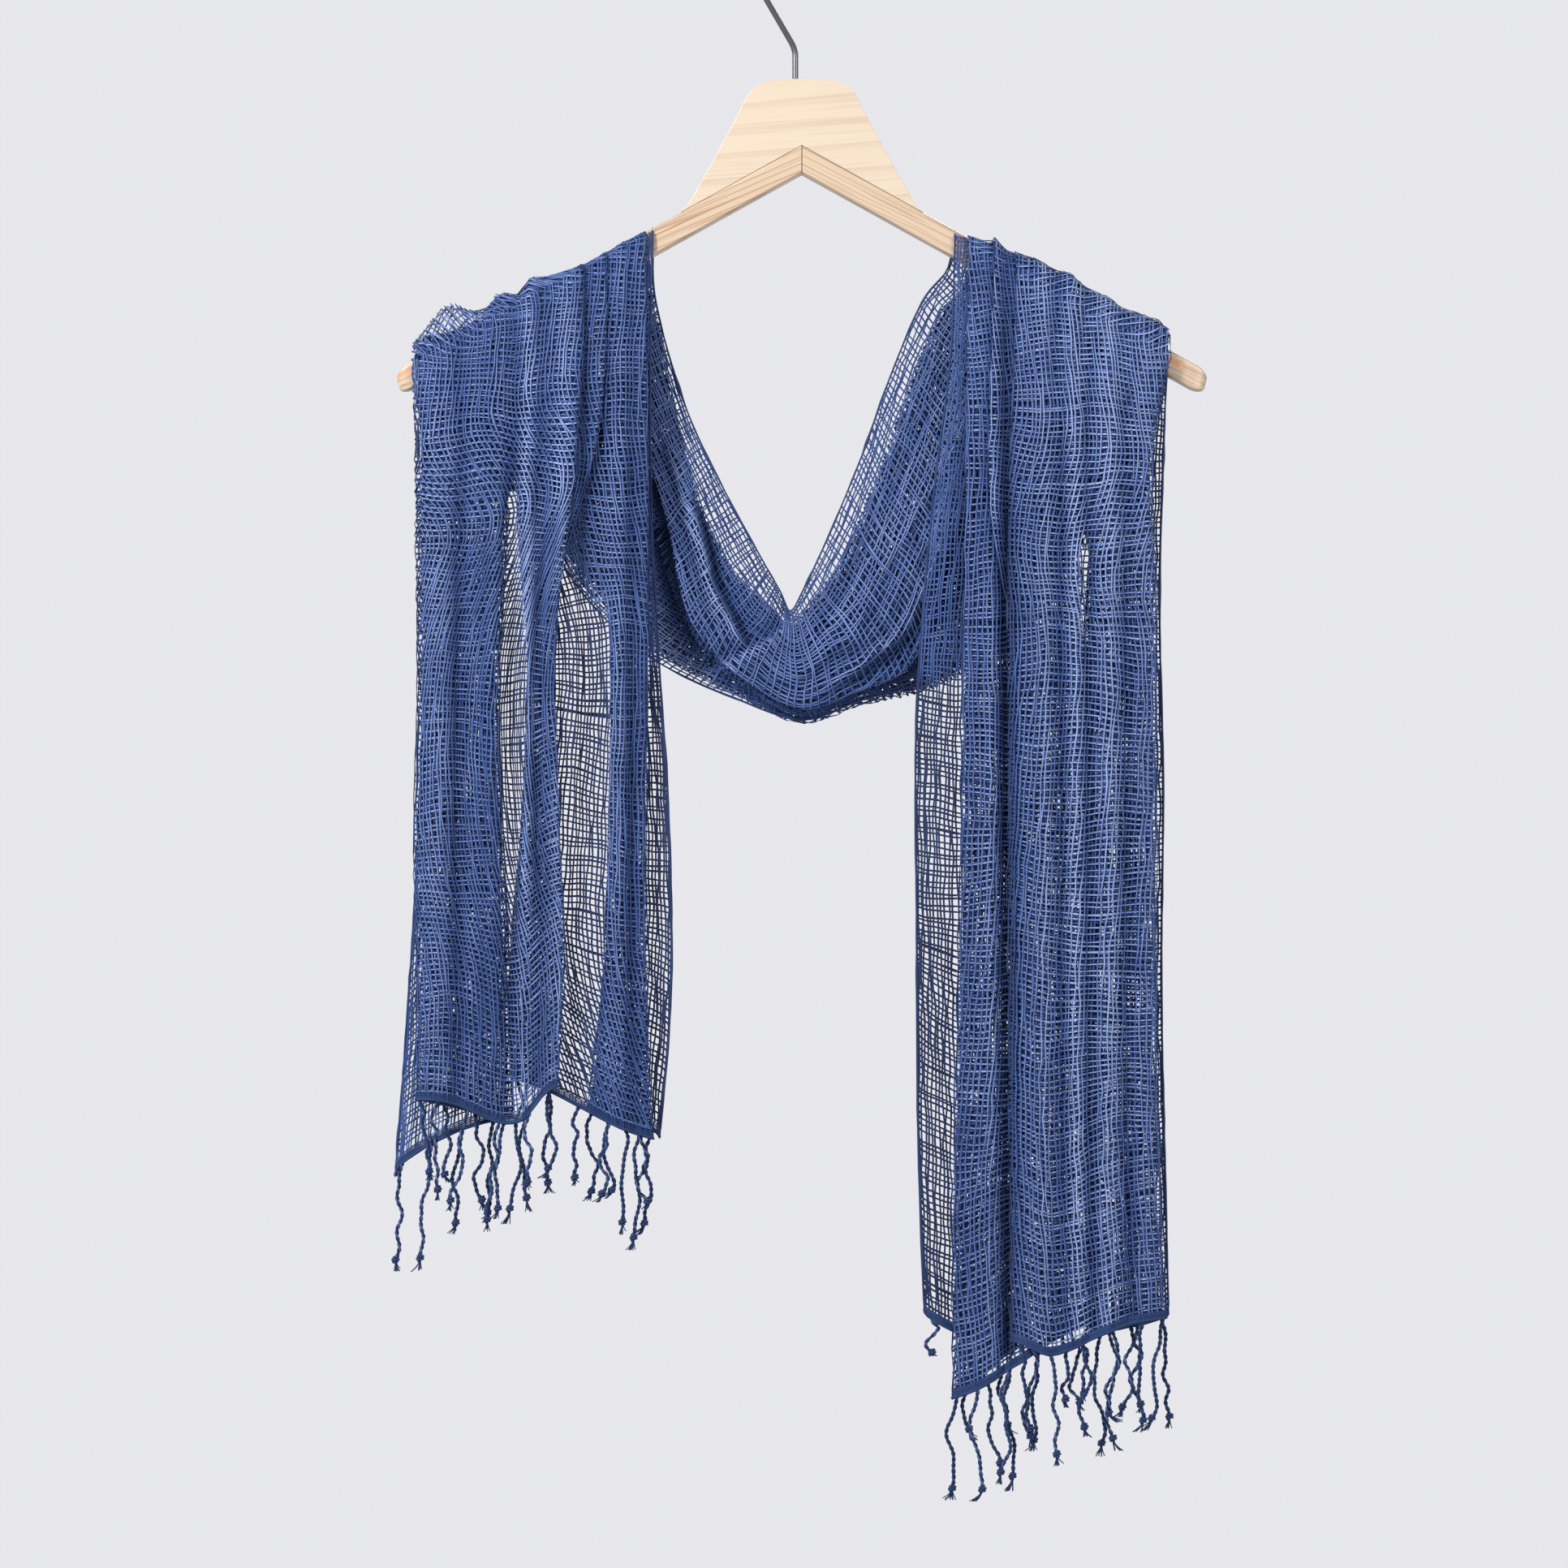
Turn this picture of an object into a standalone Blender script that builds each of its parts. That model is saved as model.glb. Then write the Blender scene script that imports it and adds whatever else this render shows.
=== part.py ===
"""Open-weave silk scarf hung over a wooden coat hanger.

The scarf is one long band of cloth, folded lengthwise into seven panels. Its two ends hang in front of the hanger's arms,
and its middle hangs in a V behind them. Every stretch of it is a thin wall through the same folded section: eight fold
lines, of which the first and the last are the selvages, and seven panels between them at their own depths.

The origin is the inside of the hook's crest, where a rail would carry it. X runs to the right, Y to the back and Z up.
Tables are in millimetres.
"""

import math

import bpy
import numpy as np

MM = 0.001

# Hanger
ARM_SLOPE = math.radians(29.0)
ARM_THICK = 12.0
ARM_HEIGHT = 13.3
ARM_REACH = 222.0
ARM_EDGE_ROUND = 3.6
ARM_TIP_TILT = 0.5
MITRE_TOP = -111.0
JOINT_GAP = 0.3
YOKE_TOP = -74.5
YOKE_THICK = 11.0
YOKE_TOP_HALF_WIDTH = 31.0
YOKE_FLANK_SLOPE = math.radians(24.5)
YOKE_CORNER_ROUND = 13.0

# Hook
WIRE_DIAMETER = 3.3
HOOK_RADIUS = 21.8
HOOK_STEM_X = -3.6
HOOK_BEND_DROP = 57.1
HOOK_LEAN = math.radians(31.4)
HOOK_END_ANGLE = math.radians(-18.0)

# Cloth
CLOTH_WALL = 1.2
ARM_CLEARANCE = 1.8
ARM_LAYER_GAP = 2.3
TAIL_LAYER_GAP = 3.5
SWAG_LAYER_GAP = 2.9
FOLD_ROUND = 0.14
CREST_CENTRE_DROP = 5.5
SEAM_ANGLE = math.radians(100.0)
SEAM_HALF_GAP_ANGLE = math.radians(1.3)
SEAM_GAP = 0.5
HEM_BAND = 4.6

# Depth order of the seven panels, counted in layers away from the arm
ORDER_ON_ARM = (0, 1, 2, 3, 4, 3, 2)
ORDER_IN_TAIL = (0, 1, 2, 3, 4, 1.2, 0.2)
ORDER_IN_SWAG = (0, 1.6, 2.6, 3.6, 6.6, 5.6, 4.6)

# Where along a tail its fold lines are given, from the arm at 0 to the hem at 1
TAIL_STATIONS = (0.0, 0.10, 0.25, 0.45, 0.65, 0.85, 1.0)

# Fold line, its distance from the hanger's middle at each tail station, and its drop at the hem
LEFT_FOLDS = (
    ("inner selvage", 82, 83, 83, 79, 73, 72, 78, 657),
    ("first back fold", 113, 111, 108, 105, 106, 110, 118, 652),
    ("first front fold", 86, 85, 84, 84, 85, 84, 81, 656),
    ("second back fold", 151, 148, 146, 149, 153, 160, 160, 622),
    ("second front fold", 119, 121, 130, 134, 132, 129, 133, 627),
    ("outer front fold", 214, 212, 211, 210, 212, 210, 211, 634),
    ("outer back fold", 166, 162, 157, 164, 164, 159, 158, 652),
    ("outer selvage", 209, 208, 206, 208, 212, 218, 223, 677),
)
RIGHT_FOLDS = (
    ("inner selvage", 84, 82, 72, 63, 63, 64, 67, 750),
    ("first back fold", 135, 132, 127, 124, 124, 124, 118, 771),
    ("first front fold", 91, 90, 89, 87, 85, 82, 82, 798),
    ("second back fold", 152, 152, 153, 161, 163, 163, 160, 767),
    ("second front fold", 117, 115, 112, 112, 112, 113, 114, 766),
    ("outer front fold", 202, 191, 192, 192, 193, 195, 198, 753),
    ("outer back fold", 177, 165, 158, 157, 157, 158, 160, 762),
    ("outer selvage", 200, 198, 196, 198, 197, 199, 201, 752),
)

# Dip of the hem inside a panel: panel, place across it from 0 to 1, half width across it, depth
LEFT_HEM_DIPS = ((4, 0.31, 0.22, 18.0),)
RIGHT_HEM_DIPS = ((4, 0.30, 0.25, 6.0),)

# Soft ridges down a tail: distance from the middle at the arm and at the hem, half width, and how proud they stand at
# the arm, halfway and at the hem
LEFT_RIDGES = (
    (196, 198, 11, 1.5, 6.0, 3.0),
    (170, 174, 9, 1.8, 7.0, 2.0),
    (143, 147, 9, 1.8, 5.0, 2.5),
    (121, 124, 8, 1.5, 5.5, 1.5),
    (98, 99, 9, 1.8, 6.0, 2.0),
)
RIGHT_RIDGES = (
    (100, 97, 9, 1.8, 3.0, 2.5),
    (126, 124, 9, 1.8, 3.5, 2.5),
    (147, 145, 9, 2.0, 1.5, 1.5),
    (167, 163, 9, 2.0, 3.5, 3.5),
    (187, 184, 9, 1.5, 2.0, 2.0),
)

# Loose loop of the outermost panel over the left arm: distance from the middle, half width, height
LEFT_LOOP = (200.0, 17.0, 9.0)

# Stretch behind the hanger: the upper and lower edges of the band, then where its fold lines 1 to 7 lie between them,
# from 0 at the upper edge to 1 at the lower
SWAG_STATIONS = (
    ("left arm", -82, -185, -212, -254, 0.24, 0.03, 0.53, 0.28, 1.00, 0.65, 0.97),
    ("left shoulder", -78, -207, -188, -272, 0.36, 0.06, 0.62, 0.33, 0.98, 0.60, 1.00),
    ("left upper", -65, -251, -155, -303, 0.55, 0.12, 0.72, 0.36, 0.965, 0.55, 1.00),
    ("left middle", -45, -295, -119, -359, 0.60, 0.16, 0.78, 0.31, 0.955, 0.50, 1.00),
    ("left lower", -24, -334, -78, -395, 0.70, 0.15, 0.82, 0.24, 0.955, 0.43, 1.00),
    ("left of point", -12, -355, -37, -414, 0.81, 0.12, 0.90, 0.20, 0.98, 0.42, 1.00),
    ("point", -6, -366, 1, -428, 0.88, 0.12, 0.94, 0.20, 1.00, 0.42, 0.97),
    ("right of point", 2, -352, 33, -418, 0.88, 0.12, 0.92, 0.25, 1.00, 0.48, 0.96),
    ("right lower", 12, -331, 63, -412, 0.80, 0.13, 0.86, 0.36, 1.00, 0.60, 0.94),
    ("right middle", 31, -286, 97, -396, 0.55, 0.12, 0.70, 0.42, 1.00, 0.74, 0.93),
    ("right upper", 48, -239, 139, -353, 0.46, 0.11, 0.62, 0.38, 1.00, 0.78, 0.94),
    ("right shoulder", 68, -193, 177, -299, 0.43, 0.10, 0.60, 0.32, 1.00, 0.79, 0.95),
    ("right arm", 81, -176, 200, -254, 0.43, 0.08, 0.58, 0.28, 1.00, 0.79, 0.99),
)
SWAG_BELLY = 9.0
SWAG_GROOVE = (0.30, 0.10, 3.0)
# Roll of the foremost fold towards the front: how many panels it takes in on either side, and how far it comes
SWAG_ROLL = (0.32, 4.0)
SWAG_SPLITS = ("left lower", "right lower")

# Fringe
CORD_COUNT = 24
CORD_WIDTH = 2.0
KNOT_WIDTH = 2.9
CORD_EDGE_MARGIN = 4.0
CORD_PLACES = (0.25, 0.55, 0.85, 0.92, 1.0)
# Sideways lean and length of each cord, from the inner selvage to the outer
LEFT_CORDS = (
    (-6, 57), (2, 64), (-1, 49), (-2, 43), (-4, 63), (3, 40), (-6, 43), (-4, 43),
    (0, 56), (6, 72), (-12, 78), (-3, 50), (-2, 42), (-3, 52), (-10, 55), (-2, 54),
    (8, 44), (4, 43), (5, 54), (-12, 62), (-4, 56), (-7, 57), (-9, 70), (-4, 59),
)
RIGHT_CORDS = (
    (0, 20), (5, 57), (10, 49), (-2, 76), (9, 54), (-6, 57), (-2, 61), (-4, 62),
    (-5, 55), (5, 43), (-5, 42), (5, 42), (0, 59), (6, 52), (5, 60), (3, 50),
    (0, 50), (-4, 60), (-9, 62), (-10, 52), (4, 66), (-2, 68), (5, 47), (5, 60),
)

FABRIC_BLUE = (0.060, 0.115, 0.330, 1.0)
PINE = (0.78, 0.58, 0.36, 1.0)
STEEL = (0.42, 0.42, 0.43, 1.0)

FOLD_COUNT = len(LEFT_FOLDS)
PANEL_COUNT = FOLD_COUNT - 1
MID_POINTS = (3, 3, 5, 4, 7, 4, 4)
TURN_PLACES = (0.0, 0.75)
TAIL_ROWS = (0.0, 0.05, 0.11, 0.18, 0.26, 0.35, 0.44, 0.53, 0.62, 0.71, 0.80, 0.88, 0.94)
CREST_ROWS = 4
BACK_ROWS = 8
SWAG_ROWS = 9


def clear_scene():
    """Removes everything that the new file starts with."""
    for old in list(bpy.data.objects):
        bpy.data.objects.remove(old)


def principled(name, colour, roughness, metallic=0.0):
    """A plain material in the piece's colour."""
    material = bpy.data.materials.new(name)
    material.use_nodes = True
    shader = material.node_tree.nodes["Principled BSDF"]
    shader.inputs["Base Color"].default_value = colour
    shader.inputs["Roughness"].default_value = roughness
    shader.inputs["Metallic"].default_value = metallic
    return material


def add_mesh(name, points, faces, material, smooth_angle=50.0):
    """One object from points in millimetres and faces that point outwards."""
    mesh = bpy.data.meshes.new(name)
    mesh.from_pydata((np.asarray(points) * MM).tolist(), [], faces)
    mesh.materials.append(material)
    mesh.shade_smooth()
    mesh.set_sharp_from_angle(angle=math.radians(smooth_angle))
    mesh.update()
    piece = bpy.data.objects.new(name, mesh)
    bpy.context.scene.collection.objects.link(piece)
    return piece


def through_rows(places, values, at):
    """A smooth curve through a table's rows, read at other places: cubic, with the slope of the neighbours."""
    places = np.asarray(places, float)
    values = np.asarray(values, float)
    at = np.atleast_1d(at)
    slopes = np.gradient(values, places, axis=0)
    row = np.clip(np.searchsorted(places, at, side="right") - 1, 0, len(places) - 2)
    span = (places[row + 1] - places[row])[:, None]
    w = (at - places[row])[:, None] / span
    start = (2 * w**3 - 3 * w**2 + 1) * values[row] + (w**3 - 2 * w**2 + w) * span * slopes[row]
    end = (3 * w**2 - 2 * w**3) * values[row + 1] + (w**3 - w**2) * span * slopes[row + 1]
    return start + end


def soft_step(x):
    """0 before 0, 1 after 1, and a smooth rise between."""
    x = np.clip(x, 0, 1)
    return x * x * (3 - 2 * x)


def bump(x, centre, half_width):
    """A soft bump of height 1."""
    return np.exp(-(((x - centre) / half_width) ** 2))


def section_places():
    """Where the section's points lie, counted in panels: close together round each fold, sparse between."""
    places = [0.0]
    for panel, mid_points in enumerate(MID_POINTS):
        first = TURN_PLACES[1] * FOLD_ROUND if panel else 0.0
        last = 1 - TURN_PLACES[1] * FOLD_ROUND if panel < PANEL_COUNT - 1 else 1.0
        inside = np.linspace(first, last, mid_points + 2)
        places += [panel + x for x in inside[1:-1]]
        if panel:
            places.append(panel + first)
        if panel < PANEL_COUNT - 1:
            places += [panel + last, panel + 1.0]
    places.append(float(PANEL_COUNT))
    return np.unique(np.round(places, 6))


def folded(edges, depths, places):
    """The folded section: how far across, and how deep, at each place. Rows are sections, columns are places."""
    panel = np.minimum(places.astype(int), PANEL_COUNT - 1)
    w = places - panel
    h = FOLD_ROUND
    ease = np.where(w < h, w * w / (2 * h), np.where(w > 1 - h, 1 - h - (1 - w) ** 2 / (2 * h), w - h / 2))
    across = edges[:, panel] + (edges[:, panel + 1] - edges[:, panel]) * ease / (1 - h)
    before = depths[:, np.maximum(panel - 1, 0)]
    here = depths[:, panel]
    after = depths[:, np.minimum(panel + 1, PANEL_COUNT - 1)]
    coming = before + (here - before) * soft_step((w + h) / (2 * h))
    going = here + (after - here) * soft_step((w - 1 + h) / (2 * h))
    return across, np.where(w < h, coming, np.where(w > 1 - h, going, here))


def wall_sides(across, depth):
    """The two faces of the wall in each section's own plane, half a wall to each side of its middle line."""
    steps = np.stack([np.diff(across, axis=1), np.diff(depth, axis=1)], axis=2)
    steps /= np.maximum(np.linalg.norm(steps, axis=2, keepdims=True), 1e-9)
    before = np.concatenate([steps[:, :1], steps], axis=1)
    after = np.concatenate([steps, steps[:, -1:]], axis=1)
    along = before + after
    length = np.linalg.norm(along, axis=2, keepdims=True)
    along /= np.maximum(length, 1e-9)
    reach = CLOTH_WALL / 2 * np.minimum(2 / np.maximum(length, 1e-9), 1.25)
    middle = np.stack([across, depth], axis=2)
    normal = np.stack([-along[..., 1], along[..., 0]], axis=2)
    return middle + normal * reach, middle - normal * reach


def crest_height(distance):
    """Height of the arc that carries the cloth over an arm, at a distance from the hanger's middle."""
    return MITRE_TOP - CREST_CENTRE_DROP - distance * math.tan(ARM_SLOPE)


def fold_table(folds):
    """Fold lines as numbers: their distances at the tail stations, and their drops at the hem."""
    numbers = np.array([row[1:] for row in folds], float)
    return numbers[:, :-1].T, -numbers[:, -1]


def ridge_depth(ridges, distance, along):
    """How proud a tail's soft ridges stand, at distances from the middle, in rows along it."""
    total = np.zeros_like(distance)
    for at_arm, at_hem, half_width, *proud in ridges:
        height = through_rows((0.0, 0.5, 1.0), np.array(proud)[:, None], along)
        centre = at_arm + (at_hem - at_arm) * along[:, None]
        total += height * bump(distance, centre, half_width)
    return total


class Tail:
    """One end of the scarf, in front of an arm, with the arc over it."""

    def __init__(self, side, folds, hem_dips, ridges, loop):
        self.side, self.hem_dips, self.ridges, self.loop = side, hem_dips, ridges, loop
        self.edges, self.hem_heights = fold_table(folds)

    def section(self, along, places):
        """Distance, depth and the wall's two faces, for rows along the tail, from 0 at the arm to 1 at the hem."""
        along = np.atleast_1d(np.asarray(along, float))
        edges = through_rows(TAIL_STATIONS, self.edges, along)
        loosened = soft_step(along / 0.25)[:, None]
        order = np.array(ORDER_ON_ARM) * (1 - loosened) + np.array(ORDER_IN_TAIL) * loosened
        gap = ARM_LAYER_GAP + (TAIL_LAYER_GAP - ARM_LAYER_GAP) * loosened
        distance, depth = folded(edges, ARM_CLEARANCE + order * gap, places)
        return distance, depth + ridge_depth(self.ridges, distance, along)

    def hem_height(self, distance, places):
        """Height of the hem at each place."""
        panel = np.minimum(places.astype(int), PANEL_COUNT - 1)
        w = places - panel
        level = soft_step(w)
        level = np.where(panel == 0, 1 - (1 - w) ** 2, np.where(panel == PANEL_COUNT - 1, w * w, level))
        height = self.hem_heights[panel] + (self.hem_heights[panel + 1] - self.hem_heights[panel]) * level
        clear_of_folds = soft_step((np.minimum(w, 1 - w) - 0.06) / 0.24)
        for dipped, centre, half_width, dip in self.hem_dips:
            height = height - dip * bump(w, centre, half_width) * clear_of_folds * (panel == dipped)
        return np.broadcast_to(height, distance.shape)

    def hanging(self, along, places):
        """The wall's two faces down the tail."""
        distance, depth = self.section(along, places)
        along = np.atleast_1d(np.asarray(along, float))[:, None]
        top = crest_height(distance)
        height = top + (self.hem_height(distance, places) - top) * along
        return [self.hung(side, height) for side in wall_sides(distance, depth)]

    def hung(self, side, height):
        """A face of the wall in front of the arm."""
        return np.stack([self.side * side[..., 0], -(ARM_THICK / 2 + side[..., 1]), height], axis=2)

    def crest(self, angles, places):
        """The wall's two faces over the arm, from 0 in front to half a turn behind."""
        distance, depth = self.section(np.zeros(len(angles)), places)
        angles = np.asarray(angles)[:, None]
        lift = self.loop[2] * bump(distance, self.loop[0], self.loop[1]) * np.sin(angles) ** 2
        outermost = soft_step(1 - np.abs(places - 4.5) / 0.62)
        faces = []
        for side in wall_sides(distance, depth):
            radius = ARM_THICK / 2 + side[..., 1]
            height = crest_height(distance) + radius * np.sin(angles) + lift * outermost
            faces.append(np.stack([self.side * side[..., 0], -radius * np.cos(angles), height], axis=2))
        return faces


LEFT = Tail(-1, LEFT_FOLDS, LEFT_HEM_DIPS, LEFT_RIDGES, LEFT_LOOP)
RIGHT = Tail(1, RIGHT_FOLDS, RIGHT_HEM_DIPS, RIGHT_RIDGES, (0.0, 1.0, 0.0))


def arm_station(tail):
    """The swag's section right behind an arm: its edges and the fold lines between them, as on the arm."""
    distances = tail.edges[0]
    first, last = distances[0], distances.max()
    upper = (tail.side * first, crest_height(first))
    lower = (tail.side * last, crest_height(last))
    return (*upper, *lower, *((distances[1:] - first) / (last - first)))


def swag_table():
    """Every section behind the hanger, with the two at the arms added, and how far along the band each lies."""
    rows = [arm_station(LEFT), *(row[1:] for row in SWAG_STATIONS), arm_station(RIGHT)]
    table = np.array(rows, float)
    middle = (table[:, 0:2] + table[:, 2:4]) / 2
    lengths = np.linalg.norm(np.diff(middle, axis=0), axis=1)
    return np.concatenate([[0.0], np.cumsum(lengths)]), table


def split_places():
    """How far along the band its named splits lie."""
    names = ["start"] + [row[0] for row in SWAG_STATIONS]
    reached, _ = swag_table()
    return [reached[names.index(name)] for name in SWAG_SPLITS]


def swag(along, places):
    """The wall's two faces behind the hanger, for rows at distances along the band."""
    reached, table = swag_table()
    along = np.atleast_1d(np.asarray(along, float))
    row = through_rows(reached, table, along)
    upper, lower = row[:, 0:2], row[:, 2:4]
    width = np.linalg.norm(lower - upper, axis=1, keepdims=True)
    direction = (lower - upper) / width
    edges = np.concatenate([np.zeros_like(width), row[:, 4:] * width], axis=1)
    from_arm = np.minimum(along, reached[-1] - along)[:, None]
    loosened = soft_step(from_arm / 45.0)
    middle = soft_step(from_arm / (0.42 * reached[-1]))
    order = np.array(ORDER_ON_ARM) * (1 - loosened) + np.array(ORDER_IN_SWAG) * loosened
    gap = ARM_LAYER_GAP + (SWAG_LAYER_GAP - ARM_LAYER_GAP) * loosened
    across, depth = folded(edges, ARM_CLEARANCE + order * gap, places)
    share = across / width
    held = 1 - soft_step(from_arm / 30.0)
    on_left = along[:, None] < reached[-1] / 2
    distance = np.abs(upper[:, :1] + direction[:, :1] * across)
    start = np.zeros(len(along))
    ridges = np.where(on_left, ridge_depth(LEFT_RIDGES, distance, start), ridge_depth(RIGHT_RIDGES, distance, start))
    belly = SWAG_BELLY * np.sin(np.pi * np.clip(share, 0, 1)) * middle
    groove = SWAG_GROOVE[2] * bump(share, SWAG_GROOVE[0], SWAG_GROOVE[1]) * middle
    roll = SWAG_ROLL[1] * bump(places, 1.0, SWAG_ROLL[0]) * middle
    depth = depth + ridges * held - belly + groove - roll
    faces = []
    for side in wall_sides(across, depth):
        flat = upper[:, None] + direction[:, None] * side[..., :1]
        faces.append(np.stack([flat[..., 0], ARM_THICK / 2 + side[..., 1], flat[..., 1]], axis=2))
    return faces


def joined_rows(*stretches):
    """Stretches that follow each other, as one pair of faces."""
    return [np.concatenate([stretch[side] for stretch in stretches]) for side in range(2)]


def closed_wall(front, back):
    """Points and faces of a wall between two grids, closed all round its rim."""
    rows, columns = front.shape[:2]
    points = np.concatenate([front.reshape(-1, 3), back.reshape(-1, 3)])
    index = np.arange(rows * columns).reshape(rows, columns)
    far = index + rows * columns

    def quads(a, b, c, d):
        return np.stack([a, b, c, d], axis=-1).reshape(-1, 4)

    faces = [
        quads(index[:-1, :-1], index[:-1, 1:], index[1:, 1:], index[1:, :-1]),
        quads(far[:-1, :-1], far[1:, :-1], far[1:, 1:], far[:-1, 1:]),
        quads(index[0, 1:], index[0, :-1], far[0, :-1], far[0, 1:]),
        quads(index[-1, :-1], index[-1, 1:], far[-1, 1:], far[-1, :-1]),
        quads(index[:-1, 0], index[1:, 0], far[1:, 0], far[:-1, 0]),
        quads(index[1:, -1], index[:-1, -1], far[:-1, -1], far[1:, -1]),
    ]
    return points, np.concatenate(faces)


def volume_of(points, faces):
    """Signed volume, positive where the faces point outwards."""
    corners = np.asarray(points)[np.asarray(faces)]
    first = corners[:, 0]
    total = 0.0
    for turn in range(1, corners.shape[1] - 1):
        total += np.einsum("ij,ij->i", first, np.cross(corners[:, turn], corners[:, turn + 1])).sum()
    return total / 6


def outwards(points, faces):
    """The same faces, turned round if they pointed inwards."""
    return faces if volume_of(points, faces) > 0 else [list(face)[::-1] for face in faces]


def add_wall(name, faces_of_wall, material):
    """A named stretch of cloth."""
    points, faces = closed_wall(*faces_of_wall)
    return add_mesh(name, points, [list(map(int, face)) for face in outwards(points, faces)], material)


def tail_length(tail):
    """Length of a tail's middle, from the arm to the hem."""
    return crest_height(tail.edges[0].mean()) - tail.hem_heights.mean()


def add_tail(name, tail, material):
    """A hanging end, from just above its hem band up over the arm."""
    places = section_places()
    end = 1 - (HEM_BAND + SEAM_GAP) / tail_length(tail)
    angles = np.linspace(0, SEAM_ANGLE - SEAM_HALF_GAP_ANGLE, CREST_ROWS + 1)[1:]
    rows = np.array([*TAIL_ROWS, end])[::-1]
    return add_wall(name, joined_rows(tail.hanging(rows, places), tail.crest(angles, places)), material)


def add_back(name, tail, material):
    """The cloth behind an arm, from the seam over the arm to the middle stretch."""
    places = section_places()
    reached, _ = swag_table()
    first_split, second_split = split_places()
    angles = np.linspace(SEAM_ANGLE + SEAM_HALF_GAP_ANGLE, math.pi, CREST_ROWS)[:-1]
    if tail.side < 0:
        along = np.linspace(0, first_split - SEAM_GAP / 2, BACK_ROWS)
    else:
        along = np.linspace(reached[-1], second_split + SEAM_GAP / 2, BACK_ROWS)
    return add_wall(name, joined_rows(tail.crest(angles, places), swag(along, places)), material)


def add_swag(name, material):
    """The middle of the scarf, at the point of the V."""
    first_split, second_split = split_places()
    along = np.linspace(first_split + SEAM_GAP / 2, second_split - SEAM_GAP / 2, SWAG_ROWS)
    return add_wall(name, swag(along, section_places()), material)


def cord_roots(tail):
    """Places of the hem's points: the folded section's own, with a pair for the root of each cord."""
    fine = np.linspace(0, PANEL_COUNT, 1401)
    distance, depth = tail.section([1.0], fine)
    steps = np.hypot(np.diff(distance[0]), np.diff(depth[0]))
    length = np.concatenate([[0.0], np.cumsum(steps)])
    middles = np.linspace(CORD_EDGE_MARGIN, length[-1] - CORD_EDGE_MARGIN, CORD_COUNT)
    folds = np.interp(np.arange(1, PANEL_COUNT), fine, length)
    nearest = folds[np.abs(middles[:, None] - folds).argmin(axis=1)]
    away = middles - nearest
    middles = np.where(np.abs(away) < CORD_WIDTH * 2, nearest + np.where(away < 0, -2, 2) * CORD_WIDTH, middles)
    first, last = middles - CORD_WIDTH / 2, middles + CORD_WIDTH / 2
    own = np.interp(section_places(), fine, length)
    clear = (np.abs(own[:, None] - middles) > CORD_WIDTH * 0.9).all(axis=1)
    clear[[0, -1]] = True
    ends = np.sort(np.concatenate([own[clear], first, last]))
    return np.interp(ends, length, fine), np.searchsorted(ends, first)


def between(face, places, wanted):
    """A face of the wall read at other places, on the straight lines between its own points."""
    return np.stack([[np.interp(wanted, places, row[:, axis]) for axis in range(3)] for row in face]).swapaxes(1, 2)


def cord_rings(tail, root, lean, length):
    """Rings of a four-sided cord below the four corners of its root, with a knot near its end."""
    centre = root.mean(axis=0)
    across = np.array([np.sign(root[1, 0] - root[0, 0]), 0.0, 0.0])
    normal = np.array([0.0, np.sign(root[0, 1] - root[3, 1]), 0.0])
    corners = np.array([normal - across, normal + across, across - normal, -across - normal])
    rings = []
    for place in CORD_PLACES:
        sway = lean * soft_step(place) + 1.4 * math.sin(2 * math.pi * place) * np.sign(lean or 1)
        distances = np.abs([[centre[0]], [centre[0] + sway]])
        ridge = ridge_depth(tail.ridges, distances, np.array([1.0, 1.0]))
        middle = centre + np.array([sway, ridge[0, 0] - ridge[1, 0], -length * place])
        knot = 0.8 < place < 1.0
        half = (KNOT_WIDTH if knot else CORD_WIDTH) / 2 * (0.8 if place == 1.0 else 1.0)
        rings.append(middle + corners * half)
    return rings


def add_fringe(name, tail, cords, material):
    """The hem band, with its cords grown from the band's lower faces."""
    places, roots = cord_roots(tail)
    start = 1 - HEM_BAND / tail_length(tail)
    own_places = section_places()
    front, back = [between(face, own_places, places) for face in tail.hanging([start, 1.0], own_places)]
    points, faces = closed_wall(front, back)
    faces = [list(map(int, face)) for face in outwards(points, faces)]
    columns = len(places)
    lower = {frozenset((columns + c, columns + c + 1, 3 * columns + c, 3 * columns + c + 1)) for c in roots}
    root_faces = {frozenset(face): face for face in faces if frozenset(face) in lower}
    faces = [face for face in faces if frozenset(face) not in lower]
    points = list(points)
    for column, (lean, length) in zip(roots, cords, strict=True):
        corner = (columns + column, columns + column + 1, 3 * columns + column + 1, 3 * columns + column)
        face = root_faces[frozenset(corner)]
        rings = cord_rings(tail, np.array([points[i] for i in corner]), lean, length)
        previous = {corner_index: corner_index for corner_index in corner}
        for ring in rings:
            following = {}
            for corner_index, point in zip(corner, ring, strict=True):
                following[corner_index] = len(points)
                points.append(point)
            for a, b in zip(face, face[1:] + face[:1], strict=True):
                faces.append([previous[a], previous[b], following[b], following[a]])
            previous = following
        faces.append([previous[i] for i in face])
    return add_mesh(name, np.array(points), faces, material)


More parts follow.
